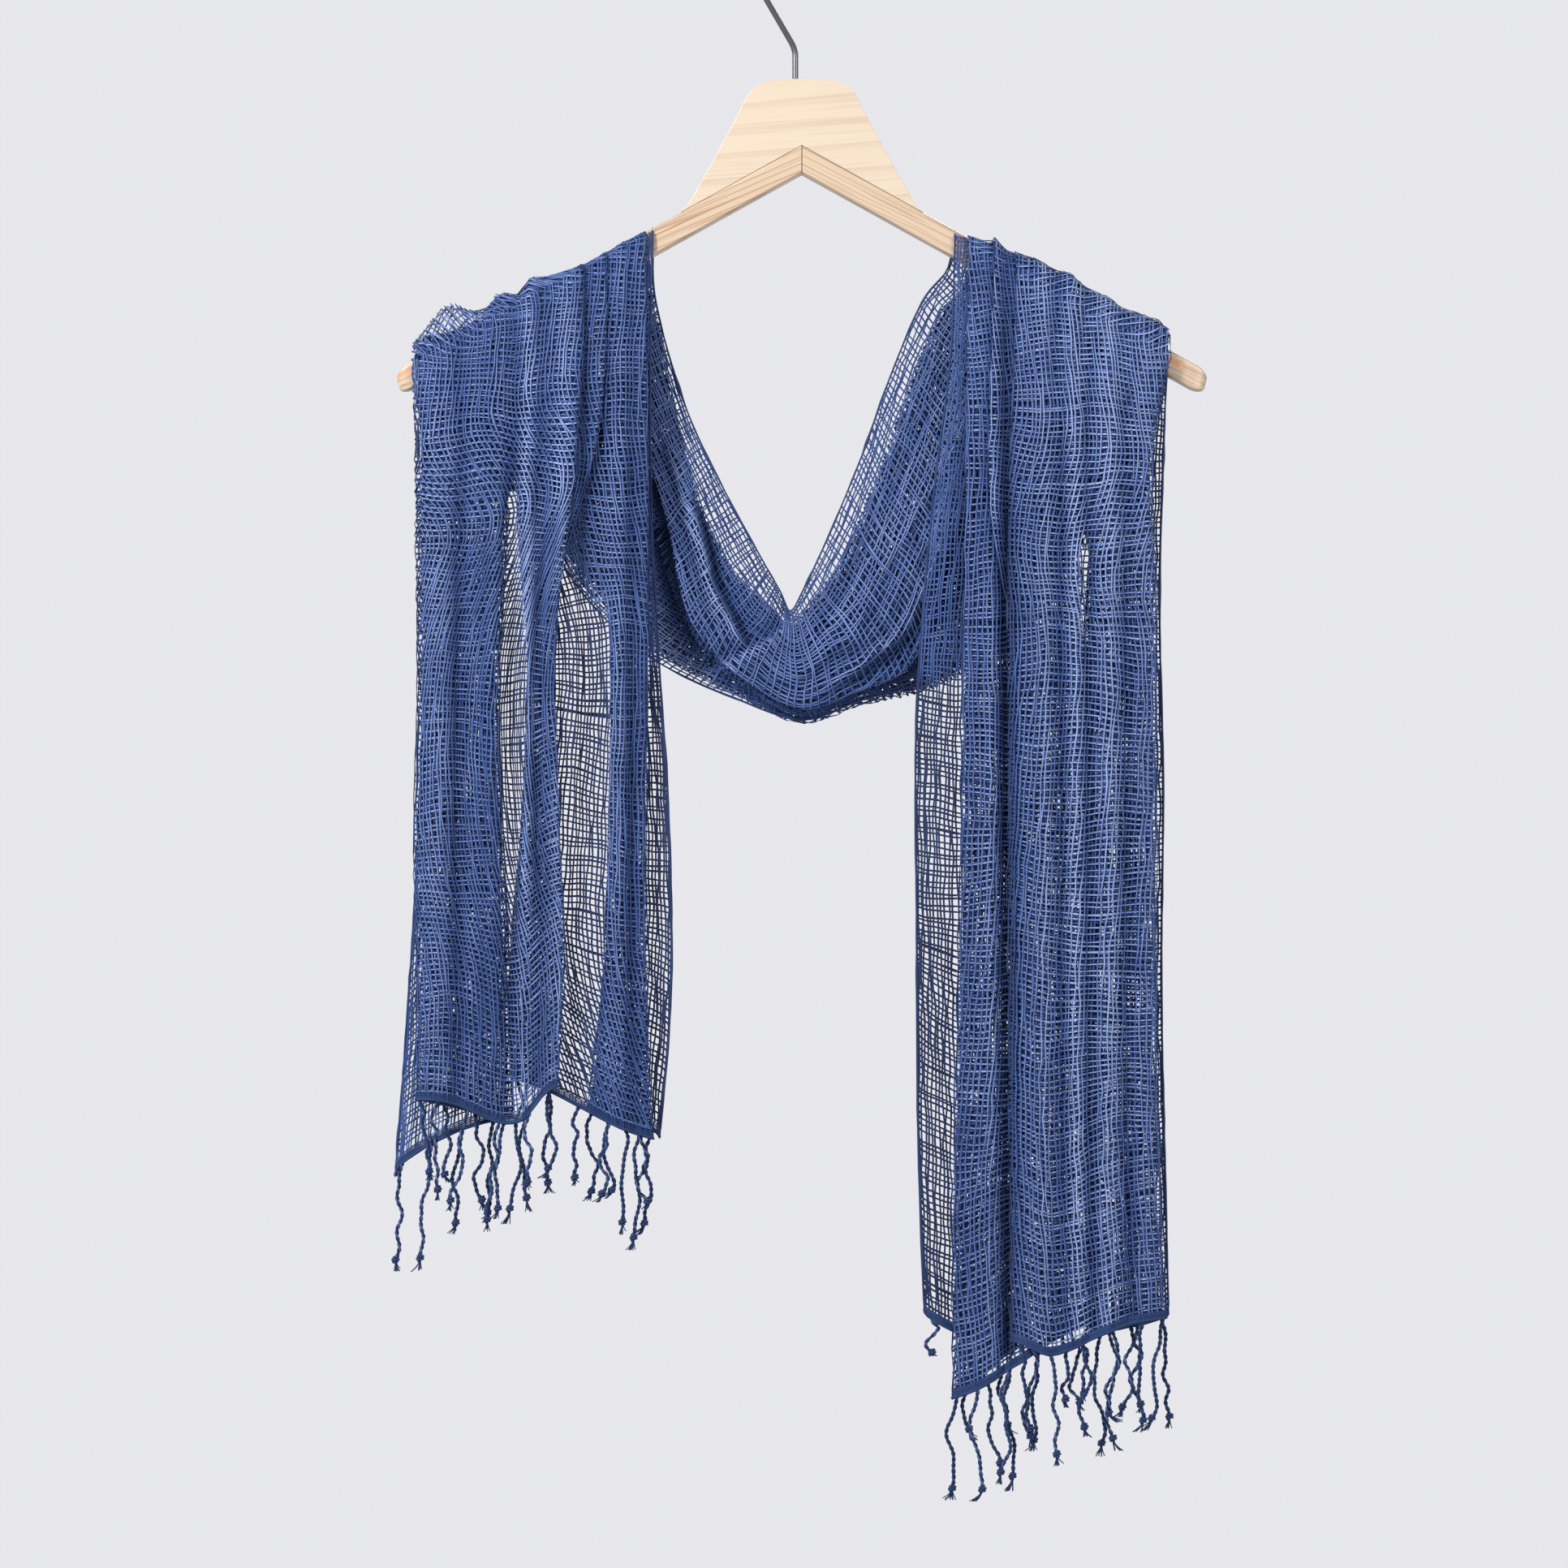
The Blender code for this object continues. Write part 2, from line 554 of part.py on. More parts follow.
def add_loft(name, rings, material, smooth_angle=40.0):
    """A closed tube through rings of points, capped at both ends."""
    rings = np.asarray(rings, float)
    count, around = rings.shape[:2]
    faces = [
        [r * around + k, r * around + (k + 1) % around, (r + 1) * around + (k + 1) % around, (r + 1) * around + k]
        for r in range(count - 1)
        for k in range(around)
    ]
    faces += [list(range(around))[::-1], [(count - 1) * around + k for k in range(around)]]
    points = rings.reshape(-1, 3)
    centre = points.mean(axis=0)
    corner_fans = [[face[0], a, b] for face in faces for a, b in zip(face[1:], face[2:])]
    if volume_of(points - centre, corner_fans) < 0:
        faces = [face[::-1] for face in faces]
    return add_mesh(name, points, faces, material, smooth_angle)


def rounded_rectangle(width, height, radius, steps=3):
    """Corner-rounded outline, centred, as pairs."""
    outline = []
    for quarter, (sx, sy) in enumerate(((1, 1), (-1, 1), (-1, -1), (1, -1))):
        for step in range(steps + 1):
            angle = (quarter + step / steps) * math.pi / 2
            x = sx * (width / 2 - radius) + radius * math.cos(angle)
            y = sy * (height / 2 - radius) + radius * math.sin(angle)
            outline.append((x, y))
    return np.array(outline)


def add_arm(name, side, material):
    """One sloping arm of the hanger: mitred at the middle, rounded at its tip."""
    outline = rounded_rectangle(ARM_THICK, ARM_HEIGHT, ARM_EDGE_ROUND)
    slope = math.tan(ARM_SLOPE)
    upright = ARM_HEIGHT / math.cos(ARM_SLOPE)
    tip = ARM_REACH
    rings = []
    start = outline * (1.0, upright / ARM_HEIGHT)
    for distance in (JOINT_GAP / 2, 60.0, 120.0, 180.0):
        middle = MITRE_TOP - upright / 2 - distance * slope
        rings.append([(side * distance, y, middle + z) for y, z in start])
    end_round = 9.0
    for turn in np.radians((0, 30, 55, 75)):
        distance = tip - end_round * math.cos(ARM_SLOPE) * (1 - math.sin(turn))
        shrink = 0.35 + 0.65 * math.cos(turn)
        middle = MITRE_TOP - upright / 2 - distance * slope
        tilt = ARM_TIP_TILT * math.sin(ARM_SLOPE) * math.cos(ARM_SLOPE)
        rings.append([(side * (distance + z * shrink * tilt), y * shrink, middle + z * shrink * 0.85) for y, z in start])
    return add_loft(name, rings, material)


def yoke_half_outline():
    """Right half of the yoke's front outline, from the middle of its top to the middle of its lower notch."""
    flank_x, flank_z = math.sin(YOKE_FLANK_SLOPE), math.cos(YOKE_FLANK_SLOPE)
    r = YOKE_CORNER_ROUND
    corner = YOKE_TOP_HALF_WIDTH - r * (1 - flank_x) / flank_z
    points = [(0.0, YOKE_TOP)]
    for turn in np.linspace(math.pi / 2, YOKE_FLANK_SLOPE, 5):
        points.append((corner - 2.0 + r * math.cos(turn), YOKE_TOP - r + r * math.sin(turn)))
    x, z = points[-1]
    slope = math.tan(ARM_SLOPE)
    base = MITRE_TOP + JOINT_GAP / math.cos(ARM_SLOPE)
    drop = (z - base + x * slope) / (flank_z - flank_x * slope)
    foot_x, foot_z = x + flank_x * drop, z - flank_z * drop
    points.append((x + flank_x * drop * 0.80, z - flank_z * drop * 0.80))
    points.append((foot_x + 1.0, base - (foot_x + 1.0) * slope + 1.4))
    points.append((foot_x + 4.0, base - (foot_x + 4.0) * slope + 0.6))
    points.append((foot_x + 4.0, base - (foot_x + 4.0) * slope))
    points.append((0.0, base))
    return points


def add_yoke(name, material):
    """The hanger's flat top plate, with eased edges."""
    half = yoke_half_outline()
    outline = half + [(-x, z) for x, z in half[-2:0:-1]]
    count = len(outline)
    points = [(x, y, z) for y in (-YOKE_THICK / 2, YOKE_THICK / 2) for x, z in outline]
    faces = [[k, (k + 1) % count, count + (k + 1) % count, count + k] for k in range(count)]
    faces += [list(range(count))[::-1], list(range(count, 2 * count))]
    corner_fans = [[face[0], a, b] for face in faces for a, b in zip(face[1:], face[2:])]
    if volume_of(points, corner_fans) < 0:
        faces = [face[::-1] for face in faces]
    return add_mesh(name, points, faces, material, 30.0)


def hook_path():
    """Centre line of the hook's wire, from the yoke up round the crest to its free end."""
    crest = WIRE_DIAMETER / 2
    centre_z = crest - HOOK_RADIUS
    start = YOKE_TOP + JOINT_GAP
    points = [(HOOK_STEM_X, start), (HOOK_STEM_X, -HOOK_BEND_DROP - 4.0)]
    touch = math.pi + HOOK_LEAN
    points.append((HOOK_STEM_X - 1.2, -HOOK_BEND_DROP + 2.4))
    for turn in np.linspace(touch, HOOK_END_ANGLE, 22):
        points.append((HOOK_RADIUS * math.cos(turn), centre_z + HOOK_RADIUS * math.sin(turn)))
    return points


def add_hook(name, material):
    """Bent steel wire, as a bevelled curve with filled caps."""
    curve = bpy.data.curves.new(name, "CURVE")
    curve.dimensions = "3D"
    curve.bevel_depth = WIRE_DIAMETER / 2 * MM
    curve.bevel_resolution = 2
    curve.use_fill_caps = True
    path = hook_path()
    spline = curve.splines.new("POLY")
    spline.points.add(len(path) - 1)
    for point, (x, z) in zip(spline.points, path, strict=True):
        point.co = (x * MM, 0.0, z * MM, 1.0)
    spline.use_smooth = True
    curve.materials.append(material)
    piece = bpy.data.objects.new(name, curve)
    bpy.context.scene.collection.objects.link(piece)
    return piece


def main():
    clear_scene()
    fabric = principled("indigo silk gauze", FABRIC_BLUE, 0.75)
    wood = principled("pine", PINE, 0.45)
    steel = principled("steel wire", STEEL, 0.3, 1.0)
    add_hook("hook", steel)
    add_yoke("hanger_yoke", wood)
    add_arm("hanger_left_arm", -1, wood)
    add_arm("hanger_right_arm", 1, wood)
    add_tail("scarf_left_tail", LEFT, fabric)
    add_tail("scarf_right_tail", RIGHT, fabric)
    add_back("scarf_left_back", LEFT, fabric)
    add_back("scarf_right_back", RIGHT, fabric)
    add_swag("scarf_swag", fabric)
    add_fringe("fringe_left", LEFT, LEFT_CORDS, fabric)
    add_fringe("fringe_right", RIGHT, RIGHT_CORDS, fabric)


main()
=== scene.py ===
# %% [markdown]
# # An open silk gauze scarf on a wooden hanger
#
# A scarf like this is a net rather than a sheet: thin slubby silk yarns, 2 to 3 mm apart, that let whatever
# is behind show through wherever only one layer hangs. Its whole look comes from how many layers lie over
# each other, so a picture of a weave on a solid sheet can't stand in for it. Here every yarn is modelled, as
# a very thin strip or tube that follows the folded cloth. First comes the cloth as a smooth folded surface,
# then the yarns along it, then fringe, hanger, light, camera.

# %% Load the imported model
import math

import bpy
import numpy as np
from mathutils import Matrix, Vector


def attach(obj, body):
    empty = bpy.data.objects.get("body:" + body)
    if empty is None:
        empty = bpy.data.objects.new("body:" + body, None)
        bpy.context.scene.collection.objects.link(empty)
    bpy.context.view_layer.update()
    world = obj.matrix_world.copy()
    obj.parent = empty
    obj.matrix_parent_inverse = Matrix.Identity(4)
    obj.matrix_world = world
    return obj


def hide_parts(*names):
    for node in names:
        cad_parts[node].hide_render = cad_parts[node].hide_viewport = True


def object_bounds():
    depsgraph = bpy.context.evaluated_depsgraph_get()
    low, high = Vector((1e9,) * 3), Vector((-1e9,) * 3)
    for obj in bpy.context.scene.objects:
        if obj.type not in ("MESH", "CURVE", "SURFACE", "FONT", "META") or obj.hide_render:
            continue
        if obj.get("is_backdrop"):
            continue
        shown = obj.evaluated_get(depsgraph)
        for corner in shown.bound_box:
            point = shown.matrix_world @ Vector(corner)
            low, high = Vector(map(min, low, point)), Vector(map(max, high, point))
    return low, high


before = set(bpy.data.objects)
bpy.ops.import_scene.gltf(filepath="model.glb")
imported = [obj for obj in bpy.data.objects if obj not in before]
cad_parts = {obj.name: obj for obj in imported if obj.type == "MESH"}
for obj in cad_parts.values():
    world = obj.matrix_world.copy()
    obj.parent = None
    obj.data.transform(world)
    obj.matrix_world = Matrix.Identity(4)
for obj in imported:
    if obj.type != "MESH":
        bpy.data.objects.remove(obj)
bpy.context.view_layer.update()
MM = 0.001

# %% [markdown]
# ## The folded cloth
#
# The scarf was folded lengthwise into seven loose panels and then hung over the hanger, so one drawing of its
# folded edge, carried along its length, gives the whole cloth. Eight fold lines run from end to end. Each row
# below says how far one fold line hangs from the hanger's middle at seven heights down a tail, and how far
# below the rail its hem is. Numbers in a table are easy to compare with a photograph, which a sculpted mesh
# is not. All are in millimetres.

# %% Fold lines of the two tails
CLOTH_WIDTH = 540.0
ARM_SLOPE = math.radians(29.0)
ARM_THICK = 12.0
MITRE_TOP = -111.0
CREST_CENTRE_DROP = 5.5
ARM_CLEARANCE = 1.8
ARM_LAYER_GAP = 1.3
TAIL_LAYER_GAP = 3.5
SWAG_LAYER_GAP = 2.9
FOLD_ROUND = 0.14
HEM_BAND = 4.6
SEAM_ANGLE = math.radians(100.0)
# The layer that each panel lies in, counted outwards from the arm: seven plain panels, then thirteen fine
ORDER_ON_ARM = np.array((0, 1, 2, 3, 4, 3, 2))
ORDER_IN_TAIL = np.array((0, 1, 2, 3, 4, 1.2, 0.2))
FINE_ORDER_ON_ARM = np.array((0, 0.5, 1, 1.5, 2, 2.5, 3, 3.5, 4, 3.6, 3.2, 2.7, 2))
FINE_ORDER_IN_TAIL = np.array((0, 0.5, 1, 1.5, 2, 2.5, 3, 3.5, 4, 2.9, 2.1, 1.2, 0.2))
FINE_ORDER_IN_SWAG = np.array((0, 0.8, 1.6, 2.1, 2.6, 3.1, 3.6, 5.1, 6.6, 6.1, 5.6, 5.1, 4.6))
TAIL_STATIONS = (0.0, 0.10, 0.25, 0.45, 0.65, 0.85, 1.0)
LEFT_FOLDS = (
    ("inner selvage", 82, 83, 83, 79, 73, 72, 78, 656),
    ("first back fold", 113, 111, 108, 105, 106, 110, 118, 641),
    ("first front fold", 86, 85, 84, 84, 85, 84, 81, 656),
    ("second back fold", 151, 150, 156, 150, 153, 160, 160, 622),
    ("second front fold", 119, 119, 124, 134, 132, 129, 133, 627),
    ("outer front fold", 214, 212, 211, 210, 212, 210, 211, 634),
    ("outer back fold", 166, 164, 161, 165, 163, 159, 158, 645),
    ("outer selvage", 209, 208, 206, 208, 212, 218, 223, 677),
)
RIGHT_FOLDS = (
    ("inner selvage", 84, 82, 72, 63, 63, 64, 67, 750),
    ("first back fold", 135, 132, 127, 124, 124, 124, 118, 771),
    ("first front fold", 91, 90, 89, 87, 85, 82, 82, 798),
    ("second back fold", 152, 152, 153, 161, 163, 163, 160, 756),
    ("second front fold", 117, 115, 112, 112, 112, 113, 114, 766),
    ("outer front fold", 202, 193, 194, 194, 194, 196, 199, 753),
    ("outer back fold", 177, 165, 156.5, 153, 153, 154, 158, 762),
    ("outer selvage", 200, 198, 196, 198, 197, 199, 201, 752),
)
# Ridges down a tail: distance at the arm and at the hem, half width, and height at the arm, halfway and there
LEFT_RIDGES = (
    (196, 198, 11, 1.5, 6.0, 3.0),
    (170, 174, 9, 1.8, 7.0, 2.0),
    (143, 147, 9, 1.8, 5.0, 2.5),
    (121, 124, 8, 1.5, 5.5, 1.5),
    (98, 99, 9, 1.8, 6.0, 2.0),
)
RIGHT_RIDGES = (
    (100, 97, 9, 1.8, 3.0, 2.5),
    (126, 124, 9, 1.8, 3.5, 2.5),
    (147, 145, 9, 2.0, 1.5, 1.5),
    (167, 163, 9, 2.0, 3.5, 3.5),
    (187, 184, 9, 1.5, 2.0, 2.0),
)
# Pleats that the solids are too coarse for, in the same columns as the ridges
LEFT_PLEATS = (
    (158, 160, 3.2, -1.2, -4.0, -2.0),
    (173, 173, 4.5, -0.8, -2.0, -1.5),
    (142, 145, 2.8, -1.2, -3.5, -1.5),
    (118, 122, 3.0, -1.2, -4.5, -2.0),
    (186, 188, 3.5, -1.0, -2.5, -2.0),
    (150, 152, 3.0, 1.0, 2.5, 1.0),
    (129, 133, 3.0, 1.0, 2.5, 1.5),
    (94, 93, 2.8, -1.0, -3.0, -2.0),
)
RIGHT_PLEATS = (
    (112, 113, 2.8, -1.2, -4.5, -3.5),
    (141, 143, 3.0, -1.2, -2.0, -1.4),
    (157, 158, 3.0, -1.2, -2.6, -2.2),
    (149, 150, 4.0, 1.0, 2.4, 2.0),
    (178, 179, 3.0, -1.0, -3.0, -2.5),
    (105, 104, 3.0, 1.0, 2.0, 1.5),
    (133, 132, 3.0, 1.0, 2.5, 1.5),
    (168, 168, 3.5, 1.0, 1.2, 1.2),
)
# Over an arm the folds lie like roof tiles: how far the top edge stands above its layers at some distances
LEFT_TOP_EDGE = (
    (82, -4.0), (108, -5.5), (124, -7.5), (127, -7.0), (150, 1.5), (152, -4.5),
    (164, 2.0), (169, 2.5), (174, -4.5), (187, -3.5), (201, -2.0), (212, 0.0),
)
RIGHT_TOP_EDGE = (
    (84, -5.0), (98, -3.0), (103, -3.0), (106, 1.0), (114, 0.0), (125, -1.5), (127, 1.0), (136, 0.3),
    (142, 3.0), (148, 2.3), (157, 1.5), (168, 0.8), (178, 1.5), (191, 4.0), (196, 6.0), (202, 4.0),
)
# A dip in each hem: its panel, its place across the panel, half width and depth
LEFT_HEM_DIP, RIGHT_HEM_DIP = (4, 0.35, 0.28, 18.0), (4, 0.30, 0.27, 10.0)
# A loose loop over an arm: its distance, half width and height. The right arm has none.
LEFT_LOOP, RIGHT_LOOP = (195.0, 15.0, 15.0), (0.0, 1.0, 0.0)
print(len(LEFT_FOLDS), "fold lines make", len(LEFT_FOLDS) - 1, "panels")

# %% [markdown]
# Behind the hanger the same eight lines sweep down into the V and up again. Each row is one cut across the
# band: the two ends of the cut, as seen from the front, and then where the fold lines lie between them, from
# 0 to 1. A crease is a line over the band with a sharp groove on one side of it and a low ridge on the other.

# %% Fold lines of the middle
SWAG_STATIONS = (
    ("left arm", -82, -185, -212, -254, 0.24, 0.0, 0.53, 0.28, 1.00, 0.55, 0.97),
    ("left shoulder", -78, -207, -188, -272, 0.30, 0.0, 0.50, 0.33, 0.98, 0.42, 1.00),
    ("left upper", -65, -251, -155, -303, 0.30, 0.05, 0.44, 0.34, 0.965, 0.38, 1.00),
    ("left middle", -45, -295, -119, -359, 0.39, 0.15, 0.48, 0.29, 0.955, 0.38, 1.00),
    ("left lower", -24, -334, -78, -395, 0.66, 0.20, 0.70, 0.24, 0.955, 0.43, 1.00),
    ("left of point", -12, -355, -37, -414, 0.83, 0.16, 0.88, 0.20, 0.98, 0.42, 1.00),
    ("point", -6, -366, 1, -428, 0.88, 0.12, 0.94, 0.20, 1.00, 0.42, 0.97),
    ("right of point", 2, -352, 33, -418, 0.90, 0.12, 0.92, 0.25, 1.00, 0.48, 0.96),
    ("right lower", 12, -331, 63, -412, 0.86, 0.13, 0.86, 0.36, 1.00, 0.60, 0.94),
    ("right middle", 31, -286, 97, -396, 0.66, 0.11, 0.70, 0.42, 1.00, 0.58, 0.93),
    ("right upper", 48, -239, 139, -353, 0.50, 0.09, 0.62, 0.38, 1.00, 0.54, 0.94),
    ("right shoulder", 68, -193, 177, -299, 0.43, 0.07, 0.60, 0.32, 1.00, 0.56, 0.95),
    ("right arm", 81, -176, 200, -254, 0.43, 0.08, 0.58, 0.28, 1.00, 0.64, 0.99),
)
# How far the band bulges back, a groove along it, a roll at each of two folds, and how creases are shaped and
# how much painted shade and light they get
SWAG_BELLY = 9.0
GROOVE_PLACE, GROOVE_HALF_WIDTH, GROOVE_DEPTH = 0.30, 0.10, 3.0
ROLL_HALF_WIDTH, ROLL_HEIGHT = 0.32, 4.0
CREASE_EDGE, CREASE_REACH, CREASE_FADE = 3.0, 5.0, 0.2
CREASE_RIDGE, CREASE_RIDGE_HALF_WIDTH, CREASE_LIGHT = 0.35, 3.5, 0.8
# Creases: side of the groove, its depth, and the line that it follows, as shares of the length and the width
SWAG_CREASES = (
    (-1, 8.0, (0.27, 0.16), (0.32, 0.23), (0.346, 0.288), (0.368, 0.351), (0.404, 0.414),
     (0.435, 0.52), (0.455, 0.60)),
    (-1, 4.5, (0.41, 0.95), (0.42, 0.85), (0.43, 0.74), (0.44, 0.60), (0.452, 0.46),
     (0.469, 0.25), (0.480, 0.14)),
    (1, 3.0, (0.54, 0.66), (0.58, 0.50), (0.595, 0.443), (0.628, 0.395), (0.679, 0.39), (0.84, 0.38)),
    (1, 8.0, (0.51, 0.83), (0.552, 0.77), (0.579, 0.715), (0.616, 0.693), (0.653, 0.62),
     (0.72, 0.55), (0.80, 0.52)),
    (1, 2.2, (0.17, 0.18), (0.23, 0.21), (0.278, 0.26), (0.34, 0.36), (0.386, 0.50), (0.425, 0.70)),
    (-1, 2.2, (0.50, 0.50), (0.55, 0.32), (0.62, 0.25), (0.70, 0.23), (0.88, 0.22)),
    (1, 2.2, (0.47, 0.70), (0.50, 0.62), (0.54, 0.56), (0.57, 0.60), (0.60, 0.58),
     (0.66, 0.51), (0.78, 0.46)),
)
print(len(SWAG_STATIONS), "cuts across the middle")


# %% [markdown]
# Between the rows of a table the numbers have to change smoothly, or the cloth would kink. A cubic curve
# whose slope at each row is that of its neighbours does it, and a few soft step and bump shapes do the rest.


# %% Smooth curves through a table
def through_rows(places, values, at):
    """Cubic through the rows: each row's slope is the mean slope of its neighbours."""
    places, values, at = np.asarray(places, float), np.asarray(values, float), np.atleast_1d(at)
    slopes = np.gradient(values, places, axis=0)
    row = np.clip(np.searchsorted(places, at, side="right") - 1, 0, len(places) - 2)
    span = (places[row + 1] - places[row])[:, None]
    w = (at - places[row])[:, None] / span
    start = (2 * w**3 - 3 * w**2 + 1) * values[row] + (w**3 - 2 * w**2 + w) * span * slopes[row]
    end = (3 * w**2 - 2 * w**3) * values[row + 1] + (w**3 - w**2) * span * slopes[row + 1]
    return start + end


def soft_step(x):
    """3x² - 2x³ between 0 and 1, and flat outside."""
    x = np.clip(x, 0, 1)
    return x * x * (3 - 2 * x)


def bump(x, centre, half_width):
    """e to the power of minus the square of the distance counted in half widths."""
    return np.exp(-(((x - centre) / half_width) ** 2))


print("halfway between 0, 10 and 10:", through_rows((0, 1, 2), [[0], [10], [10]], 0.5).ravel())


# %% [markdown]
# The folded edge itself: in each panel the cloth runs straight across at that panel's depth, and round each
# fold it turns back in a smooth U. `places` counts panels, so 2.5 is the middle of the third panel. The
# solids have seven panels. The real net is bunched more finely, which is why it looks nearly opaque where it
# isn't stretched out, so here every other panel is folded two more times: seven panels become thirteen, and
# the cloth comes out 0.54 m wide.


# %% The folded section
PANELS, PLAIN_PANELS = 13, 7
PLACES = np.linspace(0, PANELS, 60 * PANELS + 1)
PLAIN_PLACES = np.linspace(0, PLAIN_PANELS, 80 * PLAIN_PANELS + 1)
TURN_SHORT, INNER_SPREAD, OUTER_SPREAD = 0.06, 14.0, 26.0


def refolded(lines, inner=0.0, outer=0.0):
    """Eight fold lines become fourteen: between 1 and 2, 3 and 4, 5 and 6 the cloth turns back twice more.

    Each new fold is 0.06 short of the line that it turns back at. Where inner or outer is 1, the first
    new fold there moves on by its spread, to close the gaps where the cloth is bunched on an arm.
    """
    parts = [lines[:, 0:1]]
    for near, shift in ((1, 0.0), (3, INNER_SPREAD * inner), (5, OUTER_SPREAD * outer)):
        first, second = lines[:, near : near + 1], lines[:, near + 1 : near + 2]
        width = first - second
        parts += [first, second + TURN_SHORT * width - shift, second + (1 - TURN_SHORT) * width, second]
    return np.concatenate([*parts, lines[:, 7:8]], axis=1)


def folded(lines, depths, places=PLACES):
    """Across: from fold to fold, easing in and out of each turn. Depth: the panel's own, with soft steps."""
    last = lines.shape[1] - 2
    panel = np.minimum(places.astype(int), last)
    w, h = places - panel, FOLD_ROUND
    ease = np.where(w < h, w * w / (2 * h), np.where(w > 1 - h, 1 - h - (1 - w) ** 2 / (2 * h), w - h / 2))
    across = lines[:, panel] + (lines[:, panel + 1] - lines[:, panel]) * ease / (1 - h)
    before, here = depths[:, np.maximum(panel - 1, 0)], depths[:, panel]
    after = depths[:, np.minimum(panel + 1, last)]
    coming = before + (here - before) * soft_step((w + h) / (2 * h))
    going = here + (after - here) * soft_step((w - 1 + h) / (2 * h))
    return across, np.where(w < h, coming, np.where(w > 1 - h, going, here))


# How painted shade falls: order gaps that count as one layer and as well above, layer counts that make a yarn
# covered and well between, then how dark painted shade between layers gets and how strongly pleats paint
# shade and light
SAME_LAYER, WELL_ABOVE, MANY_LAYERS, WELL_BETWEEN = 0.05, 1.5, 2.6, 1.6
BETWEEN_DARK, PLEAT_LIGHT, DARKEST_PLEAT, LIGHTEST_PLEAT = 0.6, 0.13, 0.30, 1.35


def painted_shade_among(
    lines, order, across, places, backed=0, pleats=0.0,
    from_front=True, alone_dark=0.9, cast_reach=3.5, cast_dark=0.6,
):
    """Painted shade and light on a yarn: darker alone against the surround, between two layers, beside a fold
    and down in a pleat, lighter on a pleat's top.

    A panel covers a place between its two fold lines, and paints a shadow on places up to a few millimetres
    beyond them that lie deeper. backed counts layers that hang behind all of them. The second value says how
    far between layers a yarn lies.
    """
    own = order[:, np.minimum(places.astype(int), order.shape[1] - 1), None]
    reach, first, second = across[:, :, None], lines[:, None, :-1], lines[:, None, 1:]
    beyond = np.maximum(np.minimum(first, second) - reach, reach - np.maximum(first, second))
    higher = order[:, None] - own
    outside = ((beyond < 0) & (higher > SAME_LAYER)).sum(axis=2)
    inside = ((beyond < 0) & (higher < -SAME_LAYER)).sum(axis=2) + backed
    near = np.exp(-np.maximum(beyond, 0) / cast_reach) * (beyond >= 0)
    from_outside = (near * np.clip(higher / WELL_ABOVE, 0, 1)).max(axis=2)
    from_inside = (near * np.clip(-higher / WELL_ABOVE, 0, 1)).max(axis=2)
    if from_front:
        cast = np.where(outside == 0, from_outside, from_inside * (inside == 0))
    else:
        cast = np.where(inside == 0, from_inside, from_outside * (outside == 0))
    alone = 1 - soft_step((outside + inside - 0.2) / MANY_LAYERS)
    between = soft_step(np.minimum(outside, inside) / WELL_BETWEEN)
    shade = (1 - alone_dark * alone) * (1 - BETWEEN_DARK * between) * (1 - cast_dark * cast)
    return shade * np.clip(1 + PLEAT_LIGHT * pleats, DARKEST_PLEAT, LIGHTEST_PLEAT), between


def ridges_at(ridges, distance, along):
    """Sum of a bump for each ridge, whose place and height change down the tail."""
    total = np.zeros_like(distance)
    for at_arm, at_hem, half_width, *proud in ridges:
        height = through_rows((0.0, 0.5, 1.0), np.array(proud)[:, None], along)
        total += height * bump(distance, at_arm + (at_hem - at_arm) * along[:, None], half_width)
    return total


def crest_height(distance):
    """Height of the arc that carries the cloth over an arm: it falls along the arm's slope."""
    return MITRE_TOP - CREST_CENTRE_DROP - distance * math.tan(ARM_SLOPE)


def tail_facts(side, folds, *others):
    """One tail's tables, by name, with its fold lines as numbers."""
    numbers = np.array([row[1:] for row in folds], float)
    named = dict(zip(("ridges", "pleats", "top_edge", "hem_dip", "loop"), others))
    return {"side": side, "edges": numbers[:, :-1].T, "hems": -numbers[:, -1], **named}


LEFT = tail_facts(-1, LEFT_FOLDS, LEFT_RIDGES, LEFT_PLEATS, LEFT_TOP_EDGE, LEFT_HEM_DIP, LEFT_LOOP)
RIGHT = tail_facts(1, RIGHT_FOLDS, RIGHT_RIDGES, RIGHT_PLEATS, RIGHT_TOP_EDGE, RIGHT_HEM_DIP, RIGHT_LOOP)
print("crest at the arm's end:", round(crest_height(212.0), 1), "mm")


# %% [markdown]
# The same section serves three kinds of stretch. A tail hangs straight down to its hem, a crest bends over
# the arm as half a circle, and the band behind the hanger lies in the sloping plane between its two edges.


# %% The three kinds of stretch
FAR_BELOW, BACK_LAYERS = -900.0, 5
# Down a tail, as shares of its length: where its layers hang loose, and where the bunching at the arm ends
LOOSE_AT, BUNCHED = 0.25, ((0.18, 0.20), (0.10, 0.17))
# Painted light near the arm and on the right tail's outer side; then how strongly pleats and ridges paint
# shade and light
ARM_LIGHT, ARM_LIGHT_ENDS, OUTER_LIGHT, OUTER_FROM, OUTER_WAY = 0.16, 0.4, 0.16, 125, 40
PLEAT_SHARE, RIDGE_SHARE, USUAL_RIDGE = 1.4, 0.4, 3.0
LOOP_PANEL_FROM, LOOP_PANEL_TO = 8.1, 9.0
DIP_FROM, DIP_WAY = 0.06, 0.24
# Behind the hanger: where layers are loose and the middle is reached, where ridges end, and how much painted
# light the rear panels get and from which panel
SWAG_LOOSE_AT, MIDDLE_AT, RIDGES_END, REAR_LIGHT, REAR_LIGHT_FROM = 45.0, 0.42, 30.0, 0.35, 3.6


def lower_edge(x):
    """Height of the lower edge of the band behind the hanger."""
    table = np.array([row[3:5] for row in SWAG_STATIONS])
    return np.interp(x, table[:, 0], table[:, 1], left=FAR_BELOW, right=FAR_BELOW)


